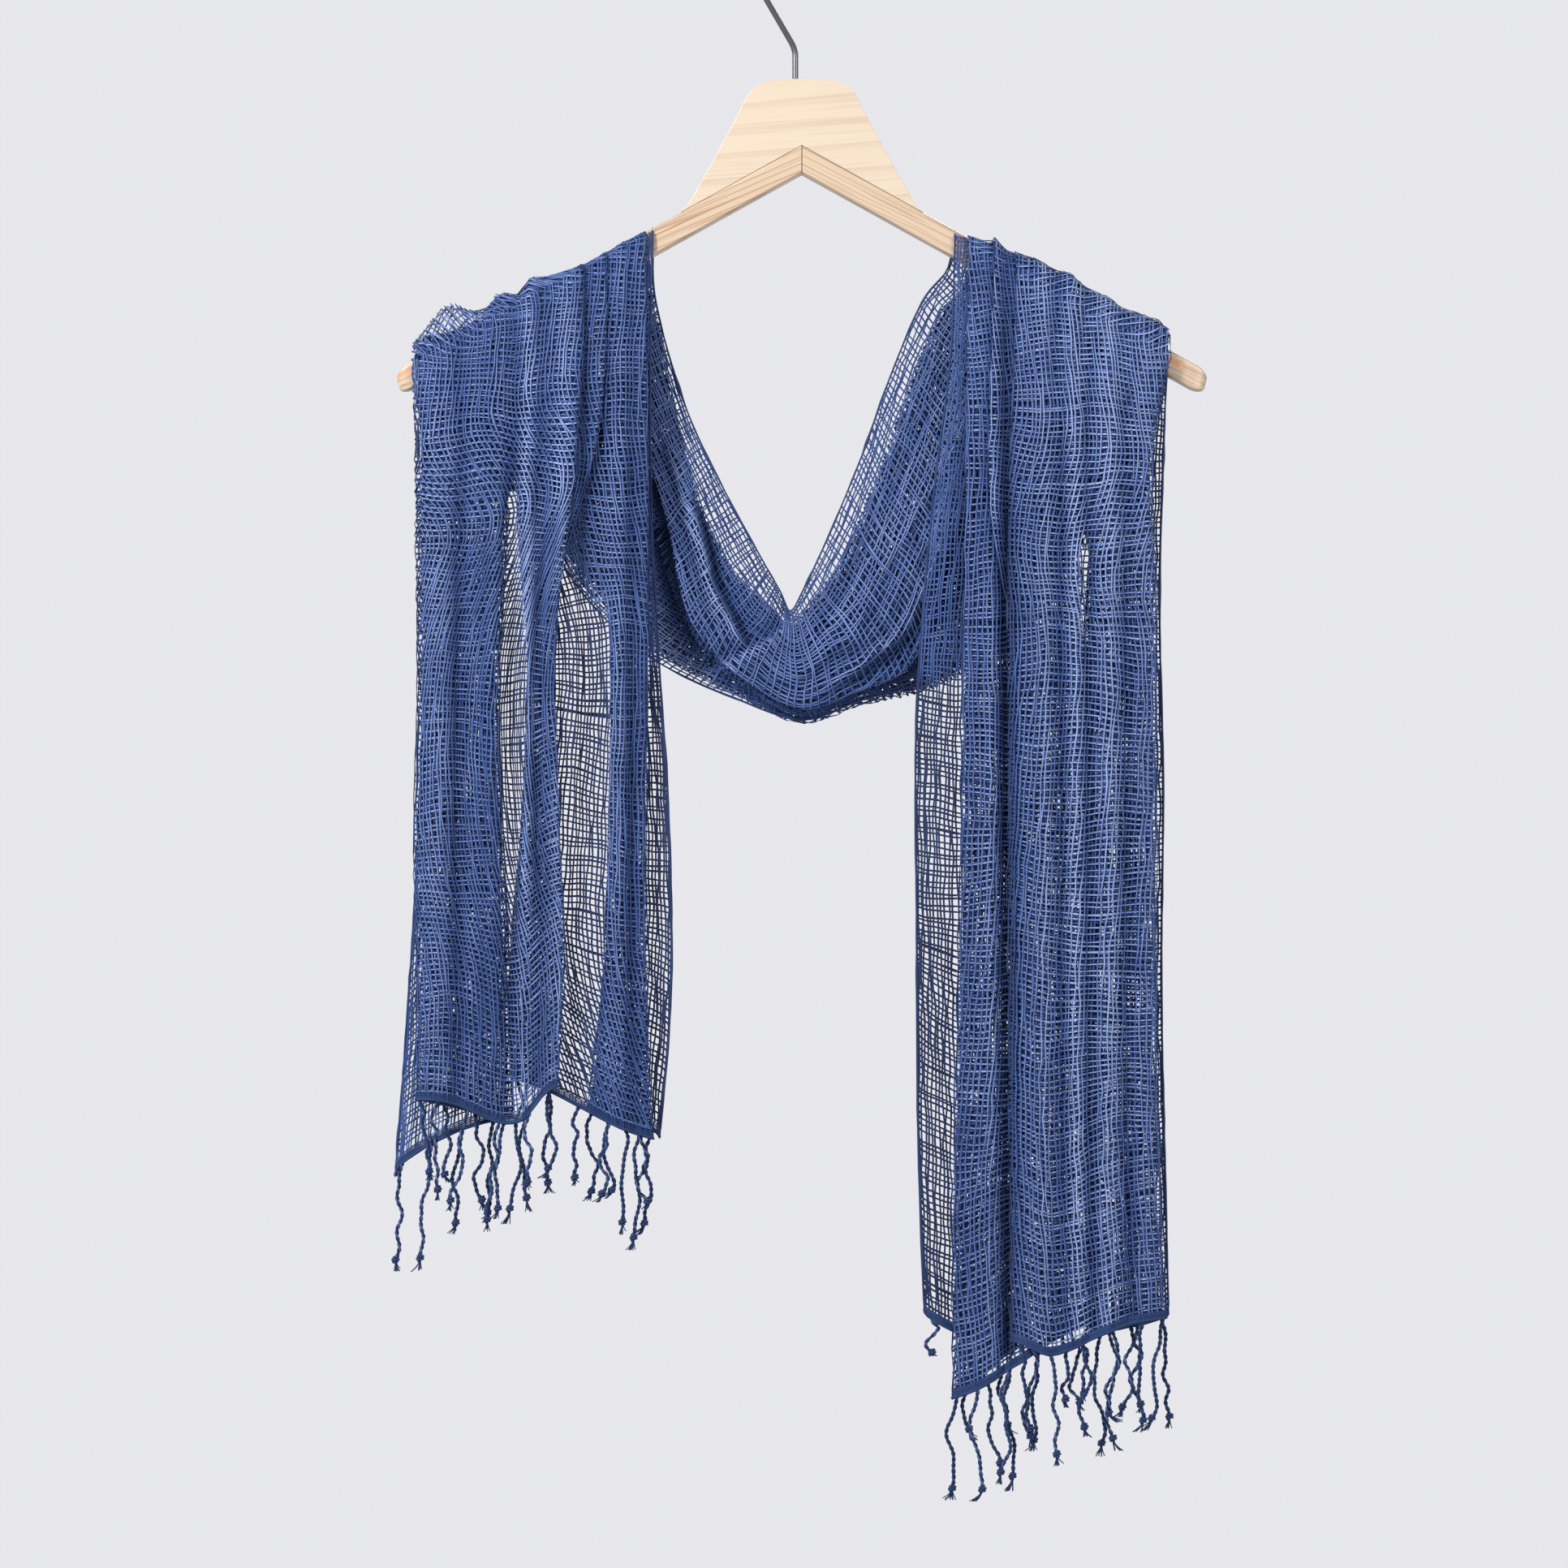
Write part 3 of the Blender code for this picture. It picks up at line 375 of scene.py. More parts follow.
def tail_section(tail, along, fine=True):
    """Distance from the hanger's middle, depth from the arm, and painted shade and light, in rows from 0 at
    the arm to 1.

    Layers loosen over the first quarter. Light is painted on near the arm and on the right tail's outer half.
    """
    along = np.atleast_1d(np.asarray(along, float))
    loosened = soft_step(along / LOOSE_AT)[:, None]
    lines, places = through_rows(TAIL_STATIONS, tail["edges"], along), PLAIN_PLACES
    on_arm, in_tail = ORDER_ON_ARM, ORDER_IN_TAIL
    if fine:
        inner, outer = (1 - soft_step((along - start) / way) for start, way in BUNCHED)
        lines, places = refolded(lines, inner[:, None], outer[:, None]), PLACES
        on_arm, in_tail = FINE_ORDER_ON_ARM, FINE_ORDER_IN_TAIL
    order = on_arm * (1 - loosened) + in_tail * loosened
    gap = ARM_LAYER_GAP + (TAIL_LAYER_GAP - ARM_LAYER_GAP) * loosened
    distance, depth = folded(lines, ARM_CLEARANCE + order * gap, places)
    ridges = ridges_at(tail["ridges"], distance, along)
    depth = depth + ridges
    if not fine:
        return distance, depth, None, None
    pleats = ridges_at(tail["pleats"], distance, along)
    top = crest_height(distance)
    height = top + (tail["hems"].mean() - top) * along[:, None]
    backed = BACK_LAYERS * (height > lower_edge(tail["side"] * distance))
    # Painted light near the arm and on the right tail's outer half, and painted shade and light from pleats
    # and ridges
    lit = 1 + ARM_LIGHT * (1 - soft_step(along / ARM_LIGHT_ENDS))[:, None]
    lit = lit + OUTER_LIGHT * (tail["side"] > 0) * soft_step((distance - OUTER_FROM) / OUTER_WAY)
    proud = PLEAT_SHARE * pleats + RIDGE_SHARE * (ridges - USUAL_RIDGE)
    tone_and_shade, between = painted_shade_among(lines, order, distance, places, backed, proud)
    return distance, depth + pleats, lit * tone_and_shade, between


def hem_height(tail, fine=True):
    """Height of the hem at each place: a soft step from fold to fold, less a dip in the front panel."""
    hems = refolded(tail["hems"][None])[0] if fine else tail["hems"]
    places = PLACES if fine else PLAIN_PLACES
    panel = np.minimum(places.astype(int), len(hems) - 2)
    w = places - panel
    level = np.where(panel == 0, 1 - (1 - w) ** 2, np.where(panel == len(hems) - 2, w * w, soft_step(w)))
    in_front, centre, half_width, dip = tail["hem_dip"]
    dipped = panel == in_front * (2 if fine else 1)
    clear_of_folds = soft_step((np.minimum(w, 1 - w) - DIP_FROM) / DIP_WAY) * dipped
    straight = hems[panel] + (hems[panel + 1] - hems[panel]) * level
    return straight - dip * bump(w, centre, half_width) * clear_of_folds


def hanging(tail, along, fine=True):
    """Rows of points down a tail, with their tone: each place falls from the crest's height to its hem's."""
    distance, depth, *shades = tail_section(tail, along, fine)
    top = crest_height(distance)
    height = top + (hem_height(tail, fine) - top) * np.asarray(along, float)[:, None]
    points = [tail["side"] * distance, -(ARM_THICK / 2 + depth), height]
    return np.stack([*points, *shades] if fine else points, axis=2)


def over_arm(tail, angles):
    """Rows over an arm: half a circle whose radius is the arm's plus the layer's depth."""
    distance, depth, *shades = tail_section(tail, np.zeros(len(angles)))
    angles, radius = np.asarray(angles)[:, None], ARM_THICK / 2 + depth
    centre, half_width, height = tail["loop"]
    outermost = soft_step((PLACES - LOOP_PANEL_FROM) / 0.2) * (1 - soft_step((PLACES - LOOP_PANEL_TO) / 0.3))
    lift = np.maximum(np.interp(distance, *zip(*tail["top_edge"])), ARM_THICK / 2 - radius)
    lift = lift + height * bump(distance, centre, half_width) * outermost
    up = crest_height(distance) + radius * np.sin(angles) + lift * np.sin(angles) ** 2
    return np.stack([tail["side"] * distance, -radius * np.cos(angles), up, *shades], axis=2)


def arm_station(tail):
    """The band's cut right behind an arm, from the tail's own table."""
    distances = tail["edges"][0]
    first, last = distances[0], distances.max()
    ends = (tail["side"] * first, crest_height(first), tail["side"] * last, crest_height(last))
    return (*ends, *((distances[1:] - first) / (last - first)))


SWAG_TABLE = np.array([arm_station(LEFT), *(row[1:] for row in SWAG_STATIONS), arm_station(RIGHT)], float)
SWAG_MIDDLE = (SWAG_TABLE[:, 0:2] + SWAG_TABLE[:, 2:4]) / 2
SWAG_REACHED = np.concatenate([[0.0], np.cumsum(np.linalg.norm(np.diff(SWAG_MIDDLE, axis=0), axis=1))])
SWAG_LENGTH = SWAG_REACHED[-1]


def behind(along):
    """Rows behind the hanger: from the upper edge towards the lower, in a belly below a groove."""
    row = through_rows(SWAG_REACHED, SWAG_TABLE, along)
    upper, lower = row[:, 0:2], row[:, 2:4]
    width = np.linalg.norm(lower - upper, axis=1, keepdims=True)
    direction = (lower - upper) / width
    from_arm = np.minimum(along, SWAG_LENGTH - along)[:, None]
    loosened, middle = soft_step(from_arm / SWAG_LOOSE_AT), soft_step(from_arm / (MIDDLE_AT * SWAG_LENGTH))
    lines = np.concatenate([np.zeros_like(width), row[:, 4:] * width], axis=1)
    lines = refolded(lines, 1 - loosened, 1 - loosened)
    order = FINE_ORDER_ON_ARM * (1 - loosened) + FINE_ORDER_IN_SWAG * loosened
    gap = ARM_LAYER_GAP + (SWAG_LAYER_GAP - ARM_LAYER_GAP) * loosened
    across, depth = folded(lines, ARM_CLEARANCE + order * gap)
    distance, share = np.abs(upper[:, :1] + direction[:, :1] * across), across / width
    at_arm = np.zeros(len(along))
    left, right = ridges_at(LEFT_RIDGES, distance, at_arm), ridges_at(RIGHT_RIDGES, distance, at_arm)
    held = 1 - soft_step(from_arm / RIDGES_END)
    depth = depth + np.where(along[:, None] < SWAG_LENGTH / 2, left, right) * held
    depth = depth - SWAG_BELLY * np.sin(np.pi * np.clip(share, 0, 1)) * middle
    depth = depth + GROOVE_DEPTH * bump(share, GROOVE_PLACE, GROOVE_HALF_WIDTH) * middle
    rolls = bump(PLACES, 1.0, ROLL_HALF_WIDTH) + bump(PLACES, 3.0, ROLL_HALF_WIDTH)
    depth = depth - ROLL_HEIGHT * rolls * middle
    pleats = np.zeros_like(depth)
    for groove_side, deep, *line in SWAG_CREASES:
        reached, aside = np.array(line).T
        middle_line = np.interp(along / SWAG_LENGTH, reached, aside)[:, None] * width
        steep = np.gradient(middle_line, axis=0) / np.gradient(along)[:, None]
        beyond = groove_side * (across - middle_line) / np.sqrt(1 + steep**2)
        w = (along[:, None] / SWAG_LENGTH - reached[0]) / (reached[-1] - reached[0])
        fade = soft_step(w / CREASE_FADE) * soft_step((1 - w) / CREASE_FADE)
        groove = soft_step((beyond + CREASE_EDGE / 2) / CREASE_EDGE)
        groove = groove * np.exp(-np.maximum(beyond, 0) / CREASE_REACH)
        ridge = CREASE_RIDGE * bump(beyond, -CREASE_EDGE, CREASE_RIDGE_HALF_WIDTH)
        pleats = pleats + deep * (ridge - groove) * fade
    # Painted shade beside folds, between layers and in crease grooves, painted light on crease ridges, and
    # painted light on the rear panels of the middle
    settings = {"from_front": False, "alone_dark": 0.45, "cast_reach": 5.0, "cast_dark": 0.9}
    tone_and_shade, between = painted_shade_among(lines, order, across, PLACES, 0, CREASE_LIGHT * pleats, **settings)
    tone_and_shade = tone_and_shade * (1 + REAR_LIGHT * soft_step(PLACES - REAR_LIGHT_FROM) * middle)
    depth = depth - pleats
    flat = upper[:, None] + direction[:, None] * across[..., None]
    return np.stack([flat[..., 0], ARM_THICK / 2 + depth, flat[..., 1], tone_and_shade, between], axis=2)


print("the band behind the hanger is", round(SWAG_LENGTH), "mm long")

# %% [markdown]
# ## One grid for the whole scarf
#
# The stretches follow each other from the left hem to the right hem. Each row of the grid is one pass of the
# weaver's shuttle, 3.35 mm after the last, and each column one place across the folded cloth. `SHARE` says
# how far along its row a point lies when the cloth is flat, which is where the warp yarns are evenly spaced.

# %% Lay out the rows
WEFT_PITCH, MEAN_LAYER = 3.35, 2.4


def tail_length(tail):
    """From the crest to the mean hem."""
    return crest_height(tail["edges"][0].mean()) - tail["hems"].mean()


def rows_for(length):
    """Whole shuttle passes in a length."""
    return max(2, round(length / WEFT_PITCH))


CREST_LENGTH = math.pi * (ARM_THICK / 2 + ARM_CLEARANCE + MEAN_LAYER * ARM_LAYER_GAP)
left_along = np.linspace(1 - HEM_BAND / tail_length(LEFT), 0, rows_for(tail_length(LEFT) - HEM_BAND) + 1)
right_along = np.linspace(0, 1 - HEM_BAND / tail_length(RIGHT), rows_for(tail_length(RIGHT) - HEM_BAND) + 1)
crest_angles = np.linspace(0, math.pi, rows_for(CREST_LENGTH) + 1)[1:]
swag_along = np.linspace(0, SWAG_LENGTH, rows_for(SWAG_LENGTH) + 1)[1:-1]
GRID = np.concatenate(
    [
        hanging(LEFT, left_along),
        over_arm(LEFT, crest_angles),
        behind(swag_along),
        over_arm(RIGHT, crest_angles[::-1]),
        hanging(RIGHT, right_along),
    ]
)
GRID, SHADES = GRID[..., :3], GRID[..., 3:]
ROWS, COLUMNS = GRID.shape[:2]
left_top, right_top = len(left_along) - 1, ROWS - len(right_along)
steps = np.linalg.norm(np.diff(GRID, axis=1), axis=2)
run = np.concatenate([np.zeros((ROWS, 1)), np.cumsum(steps, axis=1)], axis=1)
SHARE = run / run[:, -1:]
IN_MIDDLE = soft_step(np.minimum(np.arange(ROWS) - left_top, right_top - np.arange(ROWS)) / 40.0)
print(ROWS, "rows,", round((ROWS - 1) * WEFT_PITCH), "mm long, up to", run[:, -1].max().round(), "mm wide")

# %% [markdown]
# The arms slope, but the weft of a hanging tail stays level, because the cloth slides on the arm until it
# hangs straight. So each weft yarn lies some rows further along at its outer places than at its inner ones:
# enough to be level below the arm, and less and less towards the hem, which it has to follow. Behind the arm
# it comes to run straight across, and halfway down to the V's point it is again about a third as level as it
# could be.

# %% Level weft
GENTLEST_SLOPE, MOST_ROWS_OFF = 1.2, 16
STRAIGHT_AFTER, LEVEL_AGAIN = 60, 0.3
AGAIN_FROM, AGAIN_WAY, AGAIN_ENDS, AGAIN_END_WAY = 12, 36, 0.4, 0.5
LEVEL_UNTIL, LEVEL_WAY = 0.35, 0.5
LEVEL = np.zeros((ROWS, COLUMNS))
HEIGHT = GRID[..., 2]
below_mean = HEIGHT.mean(axis=1, keepdims=True) - HEIGHT
slope_of_mean = np.gradient(HEIGHT.mean(axis=1))[:, None]
way_down = np.where(slope_of_mean < 0, -1, 1)
steepness = np.maximum(np.abs(slope_of_mean), GENTLEST_SLOPE)
in_swag = np.clip(below_mean / (way_down * steepness), -MOST_ROWS_OFF, MOST_ROWS_OFF)
half = (right_top - left_top) // 2
step = np.arange(1, half)[:, None]
again = LEVEL_AGAIN * soft_step((step - AGAIN_FROM) / AGAIN_WAY)
again = again * (1 - soft_step((step / half - AGAIN_ENDS) / AGAIN_END_WAY))
for first, last, arm_row, way in ((0, left_top, left_top, 1), (right_top, ROWS - 1, right_top, -1)):
    from_arm = np.abs(np.arange(first, last + 1) - arm_row) / (last - first)
    rows_off = below_mean[first : last + 1] / np.gradient(HEIGHT[first : last + 1], axis=0)
    LEVEL[first : last + 1] = rows_off * (1 - soft_step((from_arm - LEVEL_UNTIL) / LEVEL_WAY))[:, None]
    behind_arm = arm_row + way * step[:, 0]
    LEVEL[behind_arm] = LEVEL[arm_row] * (1 - soft_step(step / STRAIGHT_AFTER)) + in_swag[behind_arm] * again
print("weft is shifted by up to", round(float(np.abs(LEVEL).max()), 1), "rows")

# %% [markdown]
# Every yarn needs to know where it is and which way the cloth faces there. The facing is the cross product of
# the two directions of the grid. `on_cloth` reads both at any fraction of a row and column, mixing the four
# nearest points.

# %% Read the cloth anywhere
down, sideways = np.gradient(GRID, axis=0), np.gradient(GRID, axis=1)
facing = np.cross(down, sideways)
facing /= np.linalg.norm(facing, axis=2, keepdims=True)
POINT_AND_FACING = np.concatenate([GRID, facing, SHADES], axis=2)


def on_cloth(row, column):
    """Point, facing, painted shade and light, and how hidden it is, at fractional rows and columns: mean of
    four grid points.
    """
    row, column = np.clip(row, 0, ROWS - 1.001), np.clip(column, 0, COLUMNS - 1.001)
    r, c = row.astype(int), column.astype(int)
    a, b = (row - r)[..., None], (column - c)[..., None]
    upper = POINT_AND_FACING[r, c] * (1 - b) + POINT_AND_FACING[r, c + 1] * b
    lower = POINT_AND_FACING[r + 1, c] * (1 - b) + POINT_AND_FACING[r + 1, c + 1] * b
    read = upper * (1 - a) + lower * a
    return read[..., :3], read[..., 3:6], read[..., 6], read[..., 7]


def columns_at(rows, shares):
    """Columns where warp yarns cross whole rows, from how far across the flat cloth they lie."""
    columns = [np.interp(share, SHARE[row], np.arange(COLUMNS)) for row, share in zip(rows, shares.T)]
    return np.stack(columns, axis=1)


print("middle of the scarf:", on_cloth(np.array([ROWS / 2]), np.array([COLUMNS / 2]))[0].round(1))


# %% [markdown]
# ## Yarns
#
# Hand-spun silk is never even. It wanders between its neighbours, thickens into slubs and thins again. Sums
# of a few sine waves with a random phase for each yarn give that at almost no cost, and the same seed gives
# the same scarf each time. A larger, slower wave bows the weft, as it does in cloth that has been handled.


# %% Uneven threads
GENTLE, SLUB_ABOVE, SLUB_THICK = 0.16, 0.62, 2.2


def wander(dice, count, places, longest):
    """Three sine waves along each yarn, each shorter than the last, half as high and with its own phase."""
    total = np.zeros((count, len(places)))
    for part in (1, 2, 3):
        length = longest / part * dice.uniform(0.75, 1.3, (count, 1))
        total += np.sin(2 * np.pi * (places / length + dice.uniform(0, 1, (count, 1)))) / 2 ** (part - 1)
    return total / (1 + 1 / 2 + 1 / 4)


def slubbed(dice, count, places, radius):
    """Radius along each yarn: gentle changes, and a thick slub where a second wave peaks."""
    gentle = 1 + GENTLE * wander(dice, count, places, 60.0)
    slub = np.clip(wander(dice, count, places, 85.0) - SLUB_ABOVE, 0, 1) * SLUB_THICK
    return radius * (gentle + slub)


def bow(share, along):
    """Millimetres by which the weft has slipped along the scarf: slow waves across it whose phase drifts."""
    slow = 2.4 * np.sin(2 * np.pi * (3.3 * share + along / 260.0)) * np.sin(2 * np.pi * (along / 410.0 + 0.2))
    quick = 1.7 * np.sin(2 * np.pi * (7.1 * share - along / 170.0 + 0.3))
    return slow + quick + 0.6 * np.sin(2 * np.pi * (16.0 * share + along / 90.0))


print("bow of the weft at the middle:", round(float(bow(0.5, 800.0)), 2), "mm")

# %% [markdown]
# A yarn of the net is a strip bent into a little roof, two faces wide: at this size nobody can see that it is
# open below, and thousands of yarns have to stay light. Thicker things such as cords are tubes with more
# sides. Both carry two things for their material. The first is a map of their own, named OFBake, which puts
# each yarn on a strip of the flat scarf. The second is a tone, so that no two yarns have quite the same blue,
# and it carries painted shade and painted highlights as well.


# %% Tubes along many paths at once
ROOF_ACROSS, ROOF_UP = np.array([[-1.0], [0], [1]]), np.array([[-0.3], [0.7], [-0.3]])
# Painted highlight on each yarn's ridge and painted shade on its eaves
ROOF_LIGHT = np.array([0.7, 1.3, 0.7])
TOWARDS_VIEWER = np.array([0, -1.0, 0])


def tubes(middle, facing, radius, strip, tone_and_shade, corners=3, roof=0.0, keep=None):
    """Ring around each point: middle + radius × (cos a × side + sin a × facing), for equal steps of a.

    The side is across both the path and the facing. strip is (u, v, du, dv): the map's place and its step
    round the ring. With a roof height, the ring is open instead: eave, ridge at that share of the radius,
    eave, and the ridge gets a painted highlight and the eaves painted shade. Where keep is False, the tube
    has no faces.
    """
    ahead = np.gradient(middle, axis=1)
    side = np.cross(facing, ahead)
    side /= np.linalg.norm(side, axis=2, keepdims=True)
    front = np.cross(ahead, side)
    front /= np.linalg.norm(front, axis=2, keepdims=True)
    angles = np.arange(corners) * 2 * np.pi / corners + np.pi / 2
    reach = np.broadcast_to(radius, middle.shape[:2])[..., None, None]
    sideways, forwards = np.cos(angles)[:, None], np.sin(angles)[:, None]
    if roof:
        sideways, forwards = ROOF_ACROSS, ROOF_UP * roof
    rings = middle[:, :, None] + reach * (sideways * side[:, :, None] + forwards * front[:, :, None])
    index = np.arange(rings[..., 0].size).reshape(rings.shape[:3])
    turned = np.roll(index, -1, axis=2)
    if roof:
        index, turned = index[..., :-1], turned[..., :-1]
    faces = np.stack([index[:, :-1], turned[:, :-1], turned[:, 1:], index[:, 1:]], axis=-1)
    faces = (faces if keep is None else faces[keep[:, :-1] | keep[:, 1:]]).reshape(-1, 4)
    u, v, du, dv = strip
    spread = (np.arange(corners) - (corners - 1) / 2) / corners
    us = np.broadcast_to(u, middle.shape[:2])[..., None] + du * spread
    vs = np.broadcast_to(v, middle.shape[:2])[..., None] + dv * spread
    lightness = ROOF_LIGHT if roof else np.ones(corners)
    tones_and_shades = np.broadcast_to(np.asarray(tone_and_shade, float), middle.shape[:2])[..., None] * lightness
    return rings.reshape(-1, 3), faces, np.stack([us.ravel(), vs.ravel()], axis=1), tones_and_shades.ravel()


def add_object(name, mesh, material):
    """An object at the origin that shows a mesh in one material."""
    mesh.materials.append(material)
    made = bpy.data.objects.new(name, mesh)
    bpy.context.scene.collection.objects.link(made)
    return made


def add_piece(name, parts, material):
    """One mesh from several sets of tubes, in metres, smooth-shaded, with its map and its tones."""
    starts = np.cumsum([0] + [len(part[0]) for part in parts[:-1]])
    faces = np.concatenate([part[1] + start for part, start in zip(parts, starts)])
    used, faces = np.unique(faces, return_inverse=True)
    faces = faces.reshape(-1, 4)
    points = np.concatenate([part[0] for part in parts])[used] * MM
    mesh = bpy.data.meshes.new(name)
    mesh.vertices.add(len(points))
    mesh.vertices.foreach_set("co", points.ravel())
    mesh.loops.add(faces.size)
    mesh.loops.foreach_set("vertex_index", faces.ravel())
    mesh.polygons.add(len(faces))
    mesh.polygons.foreach_set("loop_start", np.arange(0, faces.size, faces.shape[1]))
    mesh.polygons.foreach_set("use_smooth", np.ones(len(faces), bool))
    mesh.update(calc_edges=True)
    layout = mesh.uv_layers.new(name="OFBake")
    layout.data.foreach_set("uv", np.concatenate([part[2] for part in parts])[used][faces.ravel()].ravel())
    # Each point's tone: uneven dye together with painted shade and painted highlights
    tones_and_shades = mesh.attributes.new("tone_and_shade", "FLOAT", "POINT")
    tones_and_shades.data.foreach_set("value", np.concatenate([part[3] for part in parts])[used])
    return add_object(name, mesh, material)


straight = np.stack([np.zeros((1, 3)), np.zeros((1, 3)), np.arange(3.0)[None]], axis=2)
print("a tube of 2 steps has", len(tubes(straight, TOWARDS_VIEWER, 0.3, (0.5, 0.5, 0, 0), 0.5)[1]), "faces")

# %% [markdown]
# ## Finishes
#
# Three finishes are needed: dyed silk, lacquered pine and drawn steel wire. What changes over a surface is
# worked out in node groups, which are small machines with named inputs and outputs, and each material places
# the group with values of its own. First come short helpers that plug sockets, add the common kinds of node,
# and start a group or a material.


# %% Helpers for nodes
COLOUR, NUMBER, VECTOR = "NodeSocketColor", "NodeSocketFloat", "NodeSocketVector"


def plug(tree, socket, value):
    """Link an input to another socket, or set it to a value."""
    if isinstance(value, bpy.types.NodeSocket):
        tree.links.new(value, socket)
    else:
        socket.default_value = value


def plug_all(tree, node, **values):
    """Plug several inputs of a node by name: an underscore stands for a space."""
    for name, value in values.items():
        plug(tree, node.inputs[name.replace("_", " ")], value)


def add_node(tree, kind, settings=None, numbered=(), **named):
    """A node with its settings, and its inputs plugged in order or by name."""
    made = tree.nodes.new(kind)
    for key, value in (settings or {}).items():
        setattr(made, key, value)
    for socket, value in zip(made.inputs, numbered):
        plug(tree, socket, value)
    plug_all(tree, made, **named)
    return made


def noise(tree, place, scale, detail):
    """Cloudy noise between 0 and 1: scale counts its clouds in a metre."""
    return add_node(tree, "ShaderNodeTexNoise", Vector=place, Scale=scale, Detail=detail).outputs[0]


def maths(tree, operation, *values):
    """One step of arithmetic on numbers or sockets."""
    return add_node(tree, "ShaderNodeMath", {"operation": operation}, values).outputs[0]


def remapped(tree, value, low=0.0, high=1.0, to_low=0.0, to_high=1.0):
    """A value stretched from one range to another, and held at both ends."""
    ranges = {"From Min": low, "From Max": high, "To Min": to_low, "To Max": to_high}
    return add_node(tree, "ShaderNodeMapRange", Value=value, **ranges).outputs[0]


def mix_colours(tree, share, first, second):
    """First colour at share 0 and second at share 1."""
    mixer = add_node(tree, "ShaderNodeMix", {"data_type": "RGBA"})
    for number, value in ((0, share), (6, first), (7, second)):
        plug(tree, mixer.inputs[number], value)
    return mixer.outputs[2]


def start_group(name, inputs, outputs):
    """A node group with named sockets; returns it with the sockets that give and those that take."""
    group = bpy.data.node_groups.new(name, "ShaderNodeTree")
    for way, sockets in (("INPUT", inputs), ("OUTPUT", outputs)):
        for socket, kind in sockets.items():
            group.interface.new_socket(socket, in_out=way, socket_type=kind)
    given, result = group.nodes.new("NodeGroupInput"), group.nodes.new("NodeGroupOutput")
    return group, given.outputs, result.inputs


def start_material(name):
    """A new material; returns it with its node tree and its shader."""
    material = bpy.data.materials.new(name)
    material.use_nodes = True
    return material, material.node_tree, material.node_tree.nodes["Principled BSDF"]


print("helpers ready")

# %% [markdown]
# ### Dyed silk
#
# Hand-dyed yarn takes the dye unevenly. The group mixes three blues by the yarn's tone, which holds its
# uneven dye together with painted shade and painted highlights, and by a slow patchy noise, and raises fine
# fibres for the bump. Silk's soft shine is a little sheen on a half-rough surface, both set on the shader
# itself.

# %% Dyed silk
# A group that mixes three blues by the tone, which carries uneven dye and painted shade and highlights
yarn_dye_and_shade, given, result = start_group(
    "Dyed Yarn With Painted Shade",
    {"Deep": COLOUR, "Middle": COLOUR, "Light": COLOUR, "Tone And Shade": NUMBER, "Patchiness": NUMBER},
    {"Colour": COLOUR, "Roughness": NUMBER, "Fibres": NUMBER},
)
place = add_node(yarn_dye_and_shade, "ShaderNodeTexCoord").outputs["Object"]
patches, fibres = noise(yarn_dye_and_shade, place, 38.0, 3.0), noise(yarn_dye_and_shade, place, 2600.0, 2.0)
added = {"operation": "MULTIPLY_ADD", "use_clamp": True}
terms = maths(yarn_dye_and_shade, "SUBTRACT", patches, 0.5), given["Patchiness"], given["Tone And Shade"]
share = add_node(yarn_dye_and_shade, "ShaderNodeMath", added, terms).outputs[0]
darker = mix_colours(yarn_dye_and_shade, remapped(yarn_dye_and_shade, share, high=0.5), given["Deep"], given["Middle"])
plug(yarn_dye_and_shade, result["Colour"], mix_colours(yarn_dye_and_shade, remapped(yarn_dye_and_shade, share, low=0.5), darker, given["Light"]))
plug(yarn_dye_and_shade, result["Roughness"], remapped(yarn_dye_and_shade, fibres, to_low=0.42, to_high=0.68))
plug(yarn_dye_and_shade, result["Fibres"], fibres)


def silk(name, deep, middle, light, patchiness):
    """Silk yarn mixed from three blues by its uneven dye and its painted shade and highlights."""
    material, tree, shader = start_material(name)
    tone_and_shade = add_node(tree, "ShaderNodeAttribute", {"attribute_name": "tone_and_shade"}).outputs["Fac"]
    values = {"Deep": deep, "Middle": middle, "Light": light, "Tone And Shade": tone_and_shade, "Patchiness": patchiness}
    yarn = add_node(tree, "ShaderNodeGroup", {"node_tree": yarn_dye_and_shade}, **values).outputs
    bumped = add_node(tree, "ShaderNodeBump", Strength=0.35, Distance=0.0001, Height=yarn["Fibres"])
    plug_all(tree, shader, Base_Color=yarn["Colour"], Roughness=yarn["Roughness"], Normal=bumped.outputs[0])
    plug_all(tree, shader, Specular_IOR_Level=0.12, Sheen_Weight=0.04, Sheen_Roughness=0.4)
    plug_all(tree, shader, Sheen_Tint=(0.62, 0.75, 1.0, 1))
    return material


# Each set runs from deep to light blue: uneven dye moves a yarn between them, and so do painted shade towards
# the deep end and painted highlights towards the light end
NET_BLUES = (0.008, 0.014, 0.042, 1), (0.027, 0.056, 0.170, 1), (0.235, 0.300, 0.490, 1)
NET_SILK = silk("silk net", *NET_BLUES, 0.2)
CORD_BLUES = (0.002, 0.005, 0.018, 1), (0.016, 0.035, 0.105, 1), (0.110, 0.165, 0.330, 1)
CORD_SILK = silk("silk cords", *CORD_BLUES, 0.3)
print("silk in", NET_SILK.name, "and", CORD_SILK.name)

# %% [markdown]
# ## Weave the net
#
# Warp yarns run the length of the scarf and weft yarns cross it. Both are placed on the grid, a hair's
# breadth to either side of the cloth's middle. The two outermost warps are the selvage: thick, dark and
# lumpy, where the weft turns back. The scarf is woven in five pieces, so that each piece stays light.

